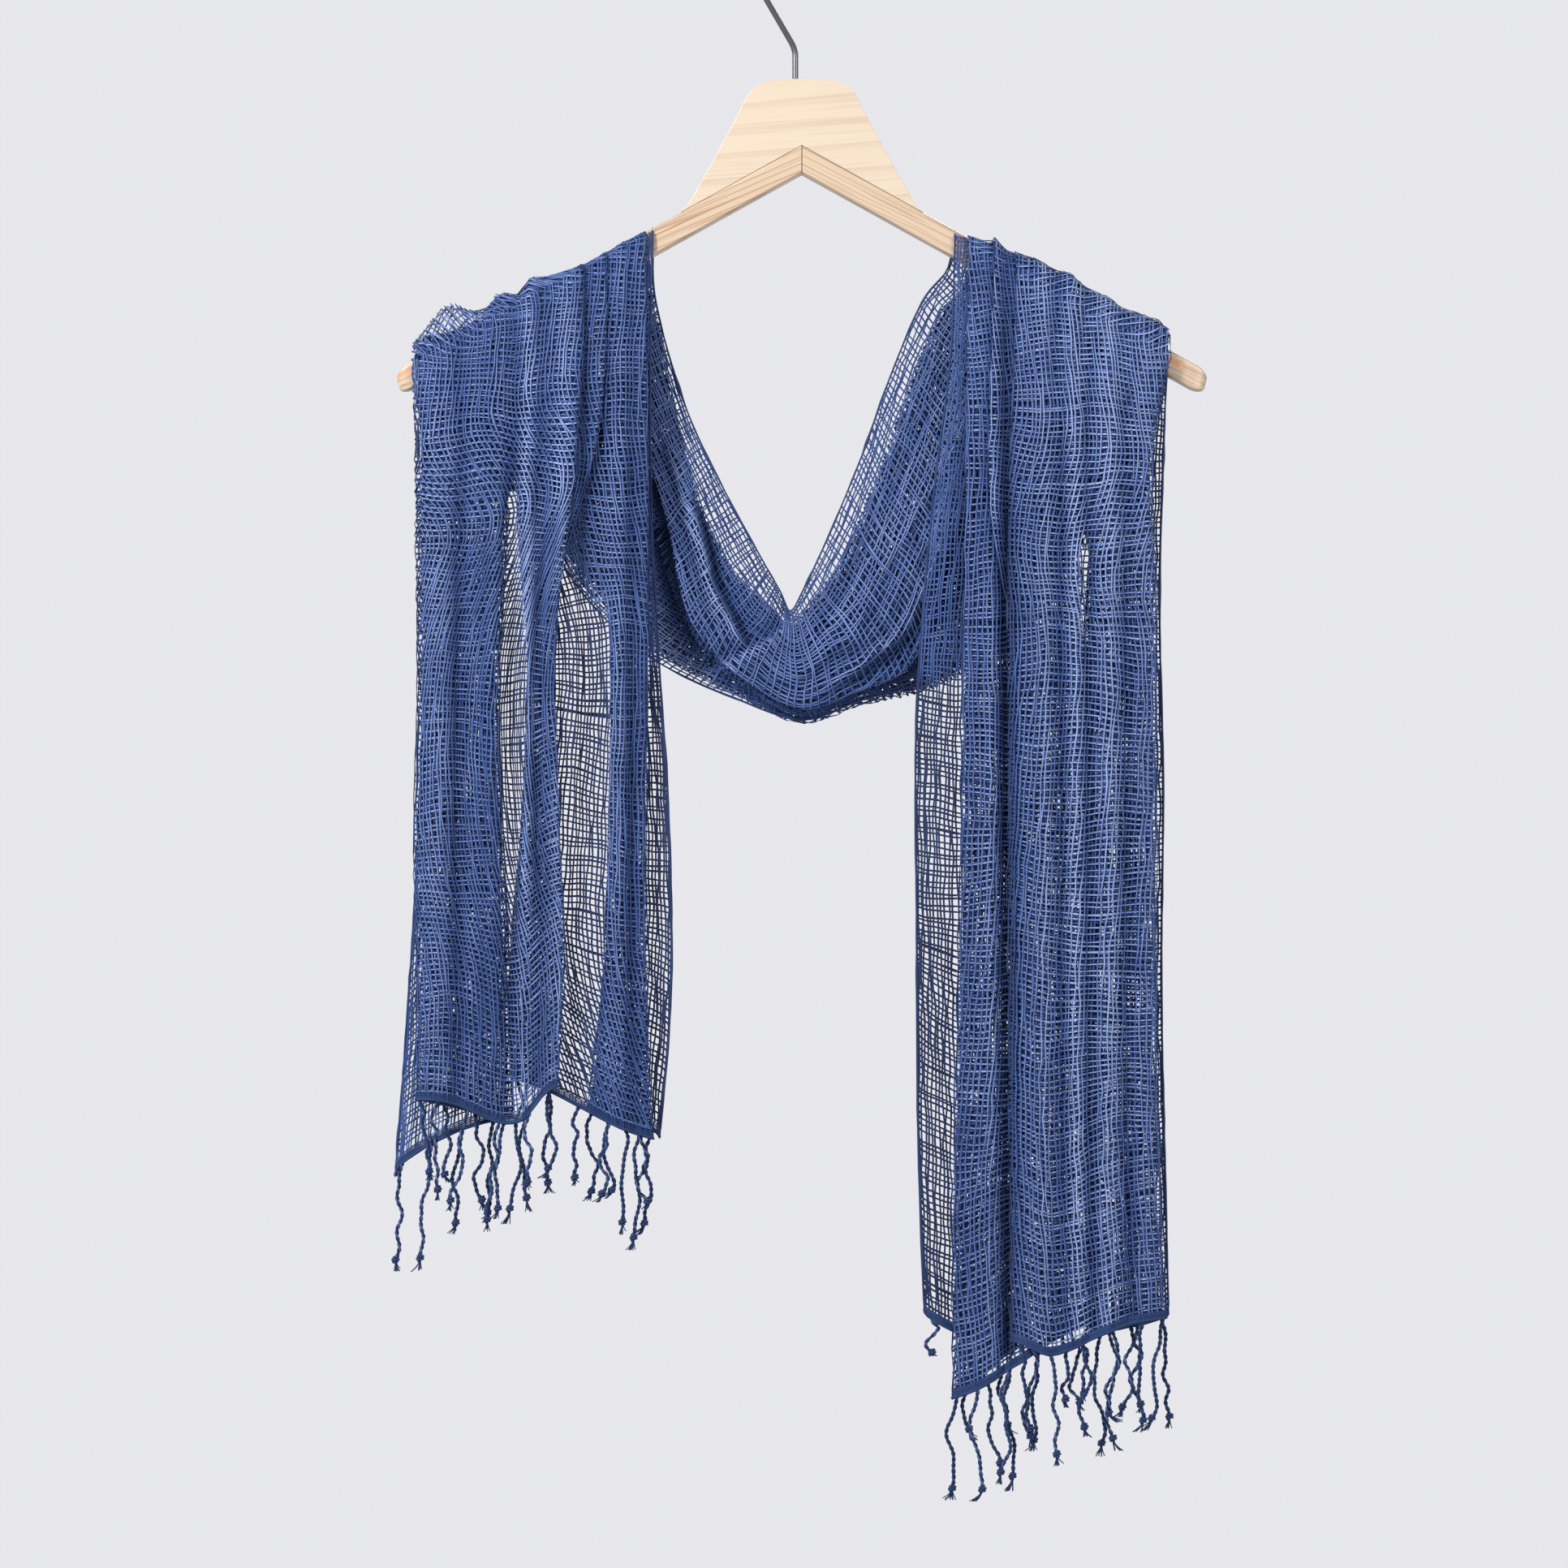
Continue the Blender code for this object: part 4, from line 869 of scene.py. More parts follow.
# %% Net of one stretch
WARP_COUNT, YARN_RADIUS, SELVAGE_RADIUS, SELVAGE_THINNEST, SELVAGE_THICKEST = 257, 0.43, 0.66, 0.4, 1.1
OFF_MIDDLE, ROOF, REACH_ROWS, HELD_ROWS = 0.16, 0.9, 20, 12.0
# How far yarns stray, warp as a share of the width and weft in millimetres
WARP_PAIRED, WARP_LOOSE, WEFT_LONG, WEFT_SHORT, WEFT_SPREAD = 0.0011, 0.0013, 0.5, 0.16, 0.4
# Tone: the usual, what the middle of the scarf adds, and how uneven it is
WARP_TONE, WARP_IN_MIDDLE, WARP_UNEVEN = 0.52, 0.06, 0.05
WEFT_TONE, WEFT_IN_MIDDLE, WEFT_UNEVEN = 0.68, 0.14, 0.08


def warp_shares():
    """Even shares of the width, a third closer together near both selvages."""
    places = np.linspace(0.0, 1.0, WARP_COUNT)
    gaps = 1 / (1 + 0.5 * (bump(places, 0.0, 0.05) + bump(places, 1.0, 0.05)))
    return np.concatenate([[0.0], np.cumsum(gaps[1:])]) / gaps[1:].sum()


def fuller(tone_and_shade, hidden):
    """Yarn seen against the surround is a little fluffier, and yarn between two layers fills their gaps."""
    return 1.22 - 0.22 * soft_step(tone_and_shade / 0.6) + 0.35 * hidden


def warp_yarns(dice, first, last, step):
    """Warp yarns over rows first to last: shares of the width, pulled together in pairs, plus a wander."""
    rows = np.unique(np.append(np.arange(first, last, step), last))
    places, every_row = rows * WEFT_PITCH, np.arange(ROWS) * WEFT_PITCH
    changing, paired, loose = (
        wander(np.random.default_rng(seed), WARP_COUNT, every_row, longest)[:, rows]
        for seed, longest in ((6, 70.0), (7, 240.0), (8, 40.0))
    )
    share = np.clip(warp_shares()[:, None] + WARP_PAIRED * paired + WARP_LOOSE * loose, 0, 1)
    share[0], share[-1] = 0.0, 1.0
    all_rows = np.broadcast_to(rows, share.shape).astype(float)
    point, facing, tone_and_shade, hidden = on_cloth(all_rows, columns_at(rows, share))
    radius = slubbed(dice, WARP_COUNT, places, YARN_RADIUS) * fuller(tone_and_shade, hidden)
    tone_and_shade = tone_and_shade * (WARP_TONE + WARP_IN_MIDDLE * IN_MIDDLE[rows] + WARP_UNEVEN * changing)
    inner, edge = slice(1, -1), [0, -1]
    v = 0.01 + 0.98 * ((rows - first) / (last - first))[None]
    strip = (0.02 + 0.45 * share[inner], v, 0.4 / WARP_COUNT, 0.0)
    middle = (point + OFF_MIDDLE * facing)[inner]
    net = tubes(middle, facing[inner], radius[inner], strip, tone_and_shade[inner], roof=ROOF)
    lumps = 0.85 + 1.1 * (radius[edge] / YARN_RADIUS - 1) + 0.18 * wander(dice, 2, places, 21.0)
    lumps = np.clip(SELVAGE_RADIUS * lumps, SELVAGE_THINNEST, SELVAGE_THICKEST)
    strip = (np.array([[0.005], [0.485]]), v, 0.008, 0.0)
    return [net, tubes(point[edge], facing[edge], lumps, strip, 0.12 + 0.2 * tone_and_shade[edge], corners=4)]


def weft_yarns(first, last, segments):
    """Weft yarns between two rows: each lies level or along its row, slipped by the bow and a wander.

    Yarns from beyond that reach in are there as well, and their faces outside are left out. Every piece
    draws the same random numbers for all rows, so a yarn goes on unbroken in the next piece.
    """
    rows = np.arange(max(0, first - REACH_ROWS), min(ROWS - 1, last + REACH_ROWS))
    columns = np.linspace(0, COLUMNS - 1, segments + 1)
    grid_rows = np.broadcast_to(rows[:, None] + 0.5, (len(rows), len(columns)))
    whole, across = columns.astype(int), columns / COLUMNS * CLOTH_WIDTH
    share = SHARE[rows][:, whole]
    hold = soft_step(np.minimum(grid_rows, ROWS - 1 - grid_rows) / HELD_ROWS)
    dice = np.random.default_rng(9)
    long_waves, short_waves = wander(dice, ROWS, across, 55.0)[rows], wander(dice, ROWS, across, 14.0)[rows]
    waves = (WEFT_LONG * long_waves + WEFT_SHORT * short_waves) * (1 + IN_MIDDLE[rows][:, None])
    waves = waves + dice.normal(0, WEFT_SPREAD, (ROWS, 1))[rows]
    slip = bow(share, grid_rows * WEFT_PITCH) * hold + waves
    reach = grid_rows + LEVEL[rows][:, whole] + slip / WEFT_PITCH
    point, facing, tone_and_shade, hidden = on_cloth(reach, np.broadcast_to(columns, reach.shape))
    radius = slubbed(dice, ROWS, across, YARN_RADIUS)[rows] * fuller(tone_and_shade, hidden)
    uneven = WEFT_UNEVEN * wander(dice, ROWS, across, 60.0)[rows]
    tone_and_shade = tone_and_shade * (WEFT_TONE - WEFT_IN_MIDDLE * IN_MIDDLE[rows][:, None] + uneven)
    v = np.clip((reach - first) / (last - first), 0, 1)
    strip = (0.52 + 0.46 * share, 0.01 + 0.98 * v, 0.0, 0.6 / (last - first))
    keep = (reach >= first) & (reach <= last)
    return [tubes(point - OFF_MIDDLE * facing, -facing, radius, strip, tone_and_shade, roof=ROOF, keep=keep)]


def weave(name, first, last, step, segments, seed):
    """The net between two rows, as one piece: a warp point every few rows, and weft yarns in segments."""
    dice = np.random.default_rng(seed)
    piece = add_piece(name, warp_yarns(dice, first, last, step) + weft_yarns(first, last, segments), NET_SILK)
    print(name, "rows", first, "to", last, "has", 2 * len(piece.data.polygons), "triangles")
    return piece


# %% [markdown]
# The pieces meet where the solids do: over the top of each arm, and on either side of the V's point.

# %% Weave all five stretches
swag_start = left_top + len(crest_angles)
over = round(len(crest_angles) * SEAM_ANGLE / math.pi)
station_names = [row[0] for row in SWAG_STATIONS]
split_stations = [station_names.index(name) + 1 for name in ("left lower", "right lower")]
splits = [swag_start + round(SWAG_REACHED[station] / WEFT_PITCH) for station in split_stations]
CUTS = [0, left_top + over, *splits, right_top - over, ROWS - 1]
NET_DETAIL = {
    "net_left_tail": (2, 190, 11),
    "net_left_back": (2, 210, 12),
    "net_middle": (1, 230, 13),
    "net_right_back": (2, 210, 14),
    "net_right_tail": (3, 180, 15),
}
nets = [weave(name, *ends, *detail) for (name, detail), ends in zip(NET_DETAIL.items(), zip(CUTS, CUTS[1:]))]

# %% [markdown]
# ## Hem and fringe
#
# Each end is beaten up close into a band a few millimetres deep, and below it the warp ends are twisted two
# and two into cords, each with a knot and a little tuft. A cord is two thin tubes wound round one line, which
# catches the light along its twist as a plain rod can't; one tube is also painted darker and the other
# lighter, as painted shade and highlight along the twist. Each row of the tables is one cord: how far it
# leans sideways, and its length.

# %% Cord tables and roots
CORD_COUNT, CORD_WIDTH, CORD_EDGE_MARGIN = 24, 2.0, 4.0
CORD_STEPS, USUAL_CORD, CORD_SWAY, CORD_CURL, CORD_FORTH = 64, 60, 2.4, 2.8, 0.5
LEFT_CORDS = (
    (-6, 57), (2, 64), (-1, 49), (-2, 43), (-4, 63), (3, 40), (-6, 43), (-4, 43),
    (0, 56), (6, 72), (-12, 78), (-3, 50), (-2, 42), (-3, 52), (-10, 55), (-2, 54),
    (8, 44), (4, 43), (5, 54), (-12, 62), (-4, 56), (-7, 57), (-9, 70), (-4, 59),
)
RIGHT_CORDS = (
    (0, 20), (5, 57), (10, 49), (-2, 76), (9, 54), (-6, 57), (-2, 61), (-4, 62),
    (-5, 55), (5, 43), (-5, 42), (5, 42), (0, 59), (6, 52), (5, 60), (3, 50),
    (0, 50), (-4, 60), (-9, 62), (-10, 52), (4, 66), (-2, 68), (5, 47), (5, 60),
)


def cord_places(tail):
    """Columns where the cords leave the hem: evenly spaced along the folded hem, kept clear of its folds."""
    distance, depth, *_ = tail_section(tail, [1.0], fine=False)
    length = np.concatenate([[0.0], np.cumsum(np.hypot(np.diff(distance[0]), np.diff(depth[0])))])
    middles = np.linspace(CORD_EDGE_MARGIN, length[-1] - CORD_EDGE_MARGIN, CORD_COUNT)
    folds = np.interp(np.arange(1, PLAIN_PANELS), PLAIN_PLACES, length)
    nearest = folds[np.abs(middles[:, None] - folds).argmin(axis=1)]
    away = middles - nearest
    moved = nearest + np.where(away < 0, -2, 2) * CORD_WIDTH
    middles = np.where(np.abs(away) < CORD_WIDTH * 2, moved, middles)
    return np.interp(middles, length, PLAIN_PLACES)


print("left cords leave at places", cord_places(LEFT).round(2)[:6], "...")

# %% [markdown]
# The line of each cord starts at its root and ends where the table says, with small curls of its own on the
# way. All cords of one end are worked out together, as arrays of 24 lines.


# %% Lines of the cords
def cord_lines(tail, cords, dice):
    """Root, minus the length downwards, plus the lean as a soft step, plus curls that fade at the root."""
    end_row = hanging(tail, [1.0], fine=False)[0]
    places = cord_places(tail)
    root = np.stack([np.interp(places, PLAIN_PLACES, end_row[:, axis]) for axis in range(3)], axis=1)
    lean, length = np.array(cords, float).T
    t = np.linspace(0, 1, CORD_STEPS + 1)
    curl = wander(dice, CORD_COUNT, t * USUAL_CORD, 44.0) * soft_step(t / 0.3)
    sway = lean[:, None] * soft_step(t) + CORD_SWAY * np.sin(2 * np.pi * t) * np.sign(lean + 0.5)[:, None]
    x = root[:, :1] + sway + CORD_CURL * curl
    start = np.array([1.0])
    ridge = [ridges_at(tail["ridges"], np.abs(line)[None], start)[0] for line in (x, root[:, :1] + 0 * x)]
    forth = CORD_FORTH * wander(dice, CORD_COUNT, t * USUAL_CORD, 37.0) * soft_step(t / 0.3)
    y = root[:, 1:2] + ridge[1] - ridge[0] + forth
    z = root[:, 2:3] - length[:, None] * t
    return np.stack([x, y, z], axis=2), length


# A darker and a lighter ply: painted shade and painted highlight along the twist
TWIST_PITCH, PLY_OFFSET, PLY_RADIUS, PLY_SHADE_AND_HIGHLIGHT = 6.5, 0.58, 0.64, (0.18, 0.55)


def plies(line, length, dice):
    """Two tubes wound round each line, half a turn apart: offset 0.58 mm, one turn each 6.5 mm. One is
    painted darker and the other lighter, as shade and highlight along the twist.
    """
    t = np.linspace(0, 1, line.shape[1])
    turn = 2 * np.pi * length[:, None] * t / TWIST_PITCH + dice.uniform(0, 2 * np.pi, (len(line), 1))
    made = []
    for ply, light in zip((0, np.pi), PLY_SHADE_AND_HIGHLIGHT):
        offset = np.stack([np.cos(turn + ply), np.sin(turn + ply), 0 * turn], axis=2) * PLY_OFFSET
        radius = PLY_RADIUS * (1 + 0.12 * wander(dice, len(line), t * USUAL_CORD, 14.0))
        tone_and_shade = light + dice.normal(0, 0.08, (len(line), 1)) + 0 * turn
        strip = (0.1 + 0.7 * np.arange(len(line))[:, None] / len(line), 0.1 + 0.8 * t[None], 0.02, 0.0)
        made.append(tubes(line + offset, TOWARDS_VIEWER, radius, strip, tone_and_shade, corners=4))
    return made


print("a cord of", USUAL_CORD, "mm turns", round(USUAL_CORD / TWIST_PITCH, 1), "times")


# %% [markdown]
# A knot is the cord's own end wound a few times round itself, so it is a short tight coil. Below it the yarn
# ends fan out.


# %% Knots and tufts
KNOT_AT, TUFT_ENDS = 0.90, 9
KNOT_STEP = int(KNOT_AT * CORD_STEPS)
KNOT_TURNS, KNOT_RADIUS, KNOT_HEIGHT, KNOT_THREAD, KNOT_POINTS, KNOT_TONE = 2.6, 1.35, 3.6, 0.80, 27, 0.32
TUFT_SPREAD, TUFT_FALL, TUFT_RADIUS, TUFT_TONE = (1.5, 0.9, 1.2), (2.0, 2.0, 1.0), 0.52, 0.3
UPWARDS = np.array([0, 0, 1.0])


def knots(line, dice):
    """A coil of 2.6 turns and 1.35 mm radius round each line, 3.6 mm tall, thick in its middle."""
    t = np.linspace(0, 1, KNOT_POINTS)
    base = line[:, KNOT_STEP]
    turn = 2 * np.pi * (KNOT_TURNS * t[None] + dice.uniform(0, 1, (len(line), 1)))
    swell = KNOT_RADIUS * (0.75 + 0.5 * np.sin(np.pi * t))
    x, y = base[:, :1] + swell * np.cos(turn), base[:, 1:2] + swell * np.sin(turn)
    z = base[:, 2:3] + KNOT_HEIGHT * (0.5 - t[None]) + 0.3 * np.cos(turn)
    radius = np.broadcast_to(KNOT_THREAD * (0.7 + 0.4 * np.sin(np.pi * t)), turn.shape)
    strip = (0.85 + 0.1 * np.arange(len(line))[:, None] / len(line), 0.1 + 0.8 * t[None], 0.002, 0.0)
    return tubes(np.stack([x, y, z], axis=2), UPWARDS, radius, strip, KNOT_TONE, corners=5)


def tufts(line, dice):
    """Loose ends below each knot: lines that leave the cord and fan out as the square of the way down."""
    t = np.linspace(0, 1, 5)
    base, end = (np.repeat(line[:, step], TUFT_ENDS, axis=0) for step in (KNOT_STEP, -1))
    tip = end + dice.normal(0, 1.0, base.shape) * TUFT_SPREAD
    tip[:, 2] = np.maximum(tip[:, 2], end[:, 2])
    fan = base[:, None] + (tip - base)[:, None] * (t[None, :, None] ** np.array(TUFT_FALL))
    radius = np.broadcast_to(TUFT_RADIUS * (1 - 0.45 * t), fan.shape[:2])
    strip = (0.96 + 0 * fan[..., 0], 0.1 + 0.8 * t[None], 0.01, 0.0)
    return tubes(fan, TOWARDS_VIEWER, radius, strip, TUFT_TONE)


# %% [markdown]
# At the hem the weft is beaten up closer and closer, and ends in a roll. The warp yarns run on through it.


# %% Hem bands and both ends
HEM_SEGMENTS, HEM_RADIUS, ROLL_RADIUS, ABOVE_HEM, CLOSER = 240, 0.36, 0.85, 0.6, 1.4
HEM_TONE, ROLL_TONE, HEM_WARP_TONE = 0.42, 0.4, 0.4


def hem_band(tail, dice, packed):
    """Weft yarns whose gaps shrink towards the hem, a roll along the last one, and the ends of the warp."""
    columns = np.linspace(0, COLUMNS - 1, HEM_SEGMENTS + 1).astype(int)
    t = 1 - (1 - np.linspace(0, 1, packed)) ** CLOSER
    start = 1 - HEM_BAND / tail_length(tail)
    point = hanging(tail, np.append(start + (1 - start) * t, 1.0 - ABOVE_HEM / tail_length(tail)))[..., :3]
    facing = np.cross(np.array([0, 0, -1.0]), np.gradient(point, axis=1))
    facing *= np.sign(facing[..., 1:2].mean()) * -1
    facing /= np.linalg.norm(facing, axis=2, keepdims=True)
    across = columns / COLUMNS * CLOTH_WIDTH
    radius = np.concatenate([np.full((packed, 1), HEM_RADIUS), [[ROLL_RADIUS]]])
    radius = radius * (1 + 0.2 * wander(dice, packed + 1, across, 16.0))
    tone_and_shade = np.concatenate([HEM_TONE + dice.normal(0, 0.06, (packed, 1)), [[ROLL_TONE]]])
    tone_and_shade = tone_and_shade + 0.06 * wander(dice, packed + 1, across, 9.0)
    v = 0.01 + 0.07 * np.arange(packed + 1)[:, None] / packed
    strip = (0.02 + 0.96 * columns[None] / COLUMNS, v, 0.0, 0.006)
    weft = tubes(point[:, columns], facing[:, columns], radius, strip, tone_and_shade, corners=4)
    at = np.interp(warp_shares(), SHARE[0 if tail is LEFT else -1], np.arange(COLUMNS)).round().astype(int)
    few = [0, packed // 2, packed - 1]
    ends, fronts = (grid[few][:, at].transpose(1, 0, 2) for grid in (point, facing))
    strip = (0.02 + 0.96 * at[:, None] / COLUMNS, np.array([[0.1, 0.12, 0.14]]), 0.002, 0.0)
    return [weft, tubes(ends, fronts, YARN_RADIUS, strip, HEM_WARP_TONE, roof=ROOF)]


def add_end(name, tail, cords, packed, seed):
    """Hem band, cords, knots and tufts of one end, as one piece."""
    dice = np.random.default_rng(seed)
    line, length = cord_lines(tail, cords, dice)
    twisted = plies(line[:, :KNOT_STEP], length * KNOT_AT, dice)
    parts = hem_band(tail, dice, packed) + twisted + [knots(line, dice), tufts(line, dice)]
    piece = add_piece(name, parts, CORD_SILK)
    print(name, "has", 2 * len(piece.data.polygons), "triangles")
    return piece


cords_left = add_end("cords_left", LEFT, LEFT_CORDS, 7, 31)
cords_right = add_end("cords_right", RIGHT, RIGHT_CORDS, 10, 32)

# %% [markdown]
# ## The hanger
#
# Pale lacquered pine: a flat plate at the top, and two round-edged arms mitred together under it. Wood shows
# wide soft year rings and, along them, fine dark streaks. The group takes a place that has been turned so
# that its X runs along the grain, so each part of the hanger can have its grain the way the saw left it.

# %% Lacquered pine
CLOUDY_PINE, KNOT_RED, JOINT_BROWN = (0.450, 0.370, 0.285, 1), (0.47, 0.18, 0.075, 1), (0.10, 0.06, 0.035, 1)
KNOT_SHAPE, NOWHERE, KNOT_CORE, KNOT_RIM = (3.2, 9.0, 1.0), (0.0, 0.0, 1.0), 0.0010, 0.0026
numbers = {name: NUMBER for name in ("Ring Spacing", "Ring Strength", "Streak Strength")}
pine, given, result = start_group(
    "Pine Grain",
    {"Place": VECTOR, "Pale": COLOUR, "Ring": COLOUR, **numbers},
    {"Colour": COLOUR, "Roughness": NUMBER, "Height": NUMBER},
)
stretched, streak_place = (
    add_node(pine, "ShaderNodeMapping", Vector=given["Place"], Scale=scale).outputs[0]
    for scale in ((0.16, 1.0, 1.0), (14.0, 300.0, 640.0))
)
bands = {"wave_type": "BANDS", "bands_direction": "Z", "wave_profile": "SAW"}
rings = add_node(pine, "ShaderNodeTexWave", bands, Vector=stretched, Scale=given["Ring Spacing"])
plug_all(pine, rings, Distortion=5.5, Detail=2.0, Detail_Scale=0.5)
late_wood = maths(pine, "POWER", rings.outputs["Fac"], 5.0)
streaks, cloudy = noise(pine, streak_place, 1.0, 2.0), noise(pine, stretched, 45.0, 2.0)
ring_share = maths(pine, "MULTIPLY", late_wood, given["Ring Strength"])
streak_share = remapped(pine, streaks, 0.52, 0.66, 0.0, given["Streak Strength"])
ringed = mix_colours(pine, ring_share, given["Pale"], given["Ring"])
streaked = mix_colours(pine, streak_share, ringed, given["Ring"])
clouded = mix_colours(pine, remapped(pine, cloudy, 0.4, 0.7, 0.0, 0.25), streaked, CLOUDY_PINE)
plug(pine, result["Colour"], clouded)
plug(pine, result["Roughness"], remapped(pine, streaks, to_low=0.34, to_high=0.5))
plug(pine, result["Height"], streaks)


def lacquered(name, turn, offset, pale, ring, spacing, strength, streaks, joint=-1.0, knot=NOWHERE):
    """Pine whose grain runs along X turned by an angle about Y.

    It is dark within joint of X = 0, and reddish at a knot, which is drawn out along the grain.
    """
    material, tree, shader = start_material(name)
    place = add_node(tree, "ShaderNodeTexCoord").outputs["Object"]
    turned = add_node(tree, "ShaderNodeMapping", Vector=place, Location=offset, Rotation=(0, turn, 0))
    values = {"Pale": pale, "Ring": ring, "Ring Spacing": spacing, "Ring Strength": strength}
    grain = add_node(tree, "ShaderNodeGroup", {"node_tree": pine}, Place=turned.outputs[0], **values)
    plug_all(tree, grain, Streak_Strength=streaks)
    at_knot = {"Location": knot, "Rotation": (0, -turn, 0), "Scale": KNOT_SHAPE}
    near_knot = add_node(tree, "ShaderNodeMapping", {"vector_type": "TEXTURE"}, Vector=place, **at_knot)
    from_knot = add_node(tree, "ShaderNodeVectorMath", {"operation": "LENGTH"}, Vector=near_knot.outputs[0])
    reddish = remapped(tree, from_knot.outputs["Value"], KNOT_CORE, KNOT_RIM, 0.8, 0.0)
    knotted = mix_colours(tree, reddish, grain.outputs["Colour"], KNOT_RED)
    aside = add_node(tree, "ShaderNodeSeparateXYZ", Vector=place).outputs["X"]
    wood = mix_colours(tree, maths(tree, "COMPARE", aside, 0.0, joint), knotted, JOINT_BROWN)
    bumped = add_node(tree, "ShaderNodeBump", Strength=0.12, Distance=0.0003, Height=grain.outputs["Height"])
    plug_all(tree, shader, Base_Color=wood, Roughness=grain.outputs["Roughness"], Normal=bumped.outputs[0])
    plug_all(tree, shader, Coat_Weight=0.25, Coat_Roughness=0.25)
    return material


YOKE_COLOURS = (0.415, 0.338, 0.252, 1), (0.290, 0.205, 0.130, 1)
ARM_COLOURS = (0.385, 0.292, 0.200, 1), (0.230, 0.125, 0.070, 1)
LEFT_KNOT, RIGHT_KNOT = (-0.219, 0.0, -0.236), (0.205, 0.0, -0.2305)
yoke_turn, left_turn, right_turn = np.radians((4.0, 24.0, -27.0))
YOKE_PINE = lacquered("pine of the yoke", yoke_turn, (0.0, 0.0, 0.013), *YOKE_COLOURS, 22.0, 0.45, 0.3)
LEFT_PINE = lacquered(
    "pine of the left arm", left_turn, (0.1, 0.0, 0.003), *ARM_COLOURS, 85.0, 1.0, 0.9, 0.0003, LEFT_KNOT
)
RIGHT_PINE = lacquered(
    "pine of the right arm", right_turn, (0.0, 0.0, 0.008), *ARM_COLOURS, 85.0, 0.9, 0.8, 0.0003, RIGHT_KNOT
)
print("three cuts of pine")

# %% [markdown]
# ### Drawn steel wire
#
# The hook is bent from plain wire. Drawing it through a die leaves its gloss slightly uneven, which a noise
# in the roughness and in the grey gives.

# %% Drawn wire
WIRE_STEEL, tree, shader = start_material("drawn wire")
uneven = noise(tree, add_node(tree, "ShaderNodeTexCoord").outputs["Object"], 350.0, 2.0)
greys = mix_colours(tree, uneven, (0.115, 0.115, 0.125, 1), (0.130, 0.130, 0.140, 1))
gloss = remapped(tree, uneven, to_low=0.22, to_high=0.29)
plug_all(tree, shader, Base_Color=greys, Roughness=gloss, Metallic=1.0)
print("wire steel ready")


# %% [markdown]
# ### Arms
#
# Each arm is a rounded bar: one outline, carried from the mitre to the tip, where it shrinks along a quarter
# circle to a rounded end. Both arms come from one function, mirrored by the sign of their side.


# %% Arms
def rounded_bar(width, height, radius, steps=8):
    """A rectangle with round corners: each corner is a quarter circle about its own centre."""
    turn = np.arange(4 * (steps + 1))
    quarter = turn // (steps + 1)
    angle = (quarter + (turn % (steps + 1)) / steps) * np.pi / 2
    sx, sy = np.array([1, -1, -1, 1])[quarter], np.array([1, 1, -1, -1])[quarter]
    centre = np.stack([sx * (width / 2 - radius), sy * (height / 2 - radius)], axis=1)
    return centre + radius * np.stack([np.cos(angle), np.sin(angle)], axis=1)


def closed_loft(name, rings, material, smooth_angle=0.7):
    """Rings of points joined into a tube, with both ends closed, in metres."""
    count, around = rings.shape[:2]
    index = np.arange(count * around).reshape(count, around)
    turned = np.roll(index, -1, axis=1)
    sides = np.stack([index[:-1], turned[:-1], turned[1:], index[1:]], axis=-1).reshape(-1, 4)
    faces = sides.tolist() + [index[0, ::-1].tolist(), index[-1].tolist()]
    mesh = bpy.data.meshes.new(name)
    mesh.from_pydata((rings.reshape(-1, 3) * MM).tolist(), [], faces)
    mesh.shade_smooth()
    mesh.set_sharp_from_angle(angle=smooth_angle)
    return add_object(name, mesh, material)


ARM_HEIGHT, ARM_REACH, TIP_ROUND, TIP_SHRINK, ARM_EDGE = 13.3, 222.0, 9.0, 0.35, 1.5
STRAIGHT_RINGS, MITRE_GAP, SECOND_RING = 5, 0.03, 1.0


def arm(name, side, material):
    """Outline × shrink, moved along the slope: shrink is 1, and falls as a cosine at the tip."""
    outline = rounded_bar(ARM_THICK, ARM_HEIGHT / math.cos(ARM_SLOPE), ARM_EDGE)
    turn = np.concatenate([np.zeros(STRAIGHT_RINGS), np.radians(np.linspace(12, 80, 10))])
    reach = ARM_REACH - TIP_ROUND * math.cos(ARM_SLOPE) * (1 - np.sin(turn))
    reach[:STRAIGHT_RINGS] = np.linspace(MITRE_GAP, reach[STRAIGHT_RINGS - 1], STRAIGHT_RINGS)
    reach[1] = SECOND_RING
    shrink = TIP_SHRINK + (1 - TIP_SHRINK) * np.cos(turn)
    along_bar = np.arange(len(turn)) < STRAIGHT_RINGS - 1
    upright = np.where(along_bar, 1.0, 0.85) * shrink
    tilt = np.where(along_bar, 0.0, 0.5 * math.sin(ARM_SLOPE) * math.cos(ARM_SLOPE)) * shrink
    middle = MITRE_TOP - ARM_HEIGHT / math.cos(ARM_SLOPE) / 2 - reach * math.tan(ARM_SLOPE)
    x = side * (reach[:, None] + outline[None, :, 1] * tilt[:, None])
    y = outline[None, :, 0] * shrink[:, None]
    z = middle[:, None] + outline[None, :, 1] * upright[:, None]
    rings = np.stack([x, y + 0 * z, z], axis=2)
    return closed_loft(name, rings if side > 0 else rings[:, ::-1], material)


left_arm = arm("left_arm", -1, LEFT_PINE)
right_arm = arm("right_arm", 1, RIGHT_PINE)
print("arms:", len(left_arm.data.polygons), "faces each")

# %% [markdown]
# ### Yoke
#
# The plate is cut from board, so it is one outline given a thickness, and its edges are eased with a Bevel
# modifier. The outline has a gently arched top, rounded shoulders and nearly straight flanks, and its feet
# end in a point on the arms.

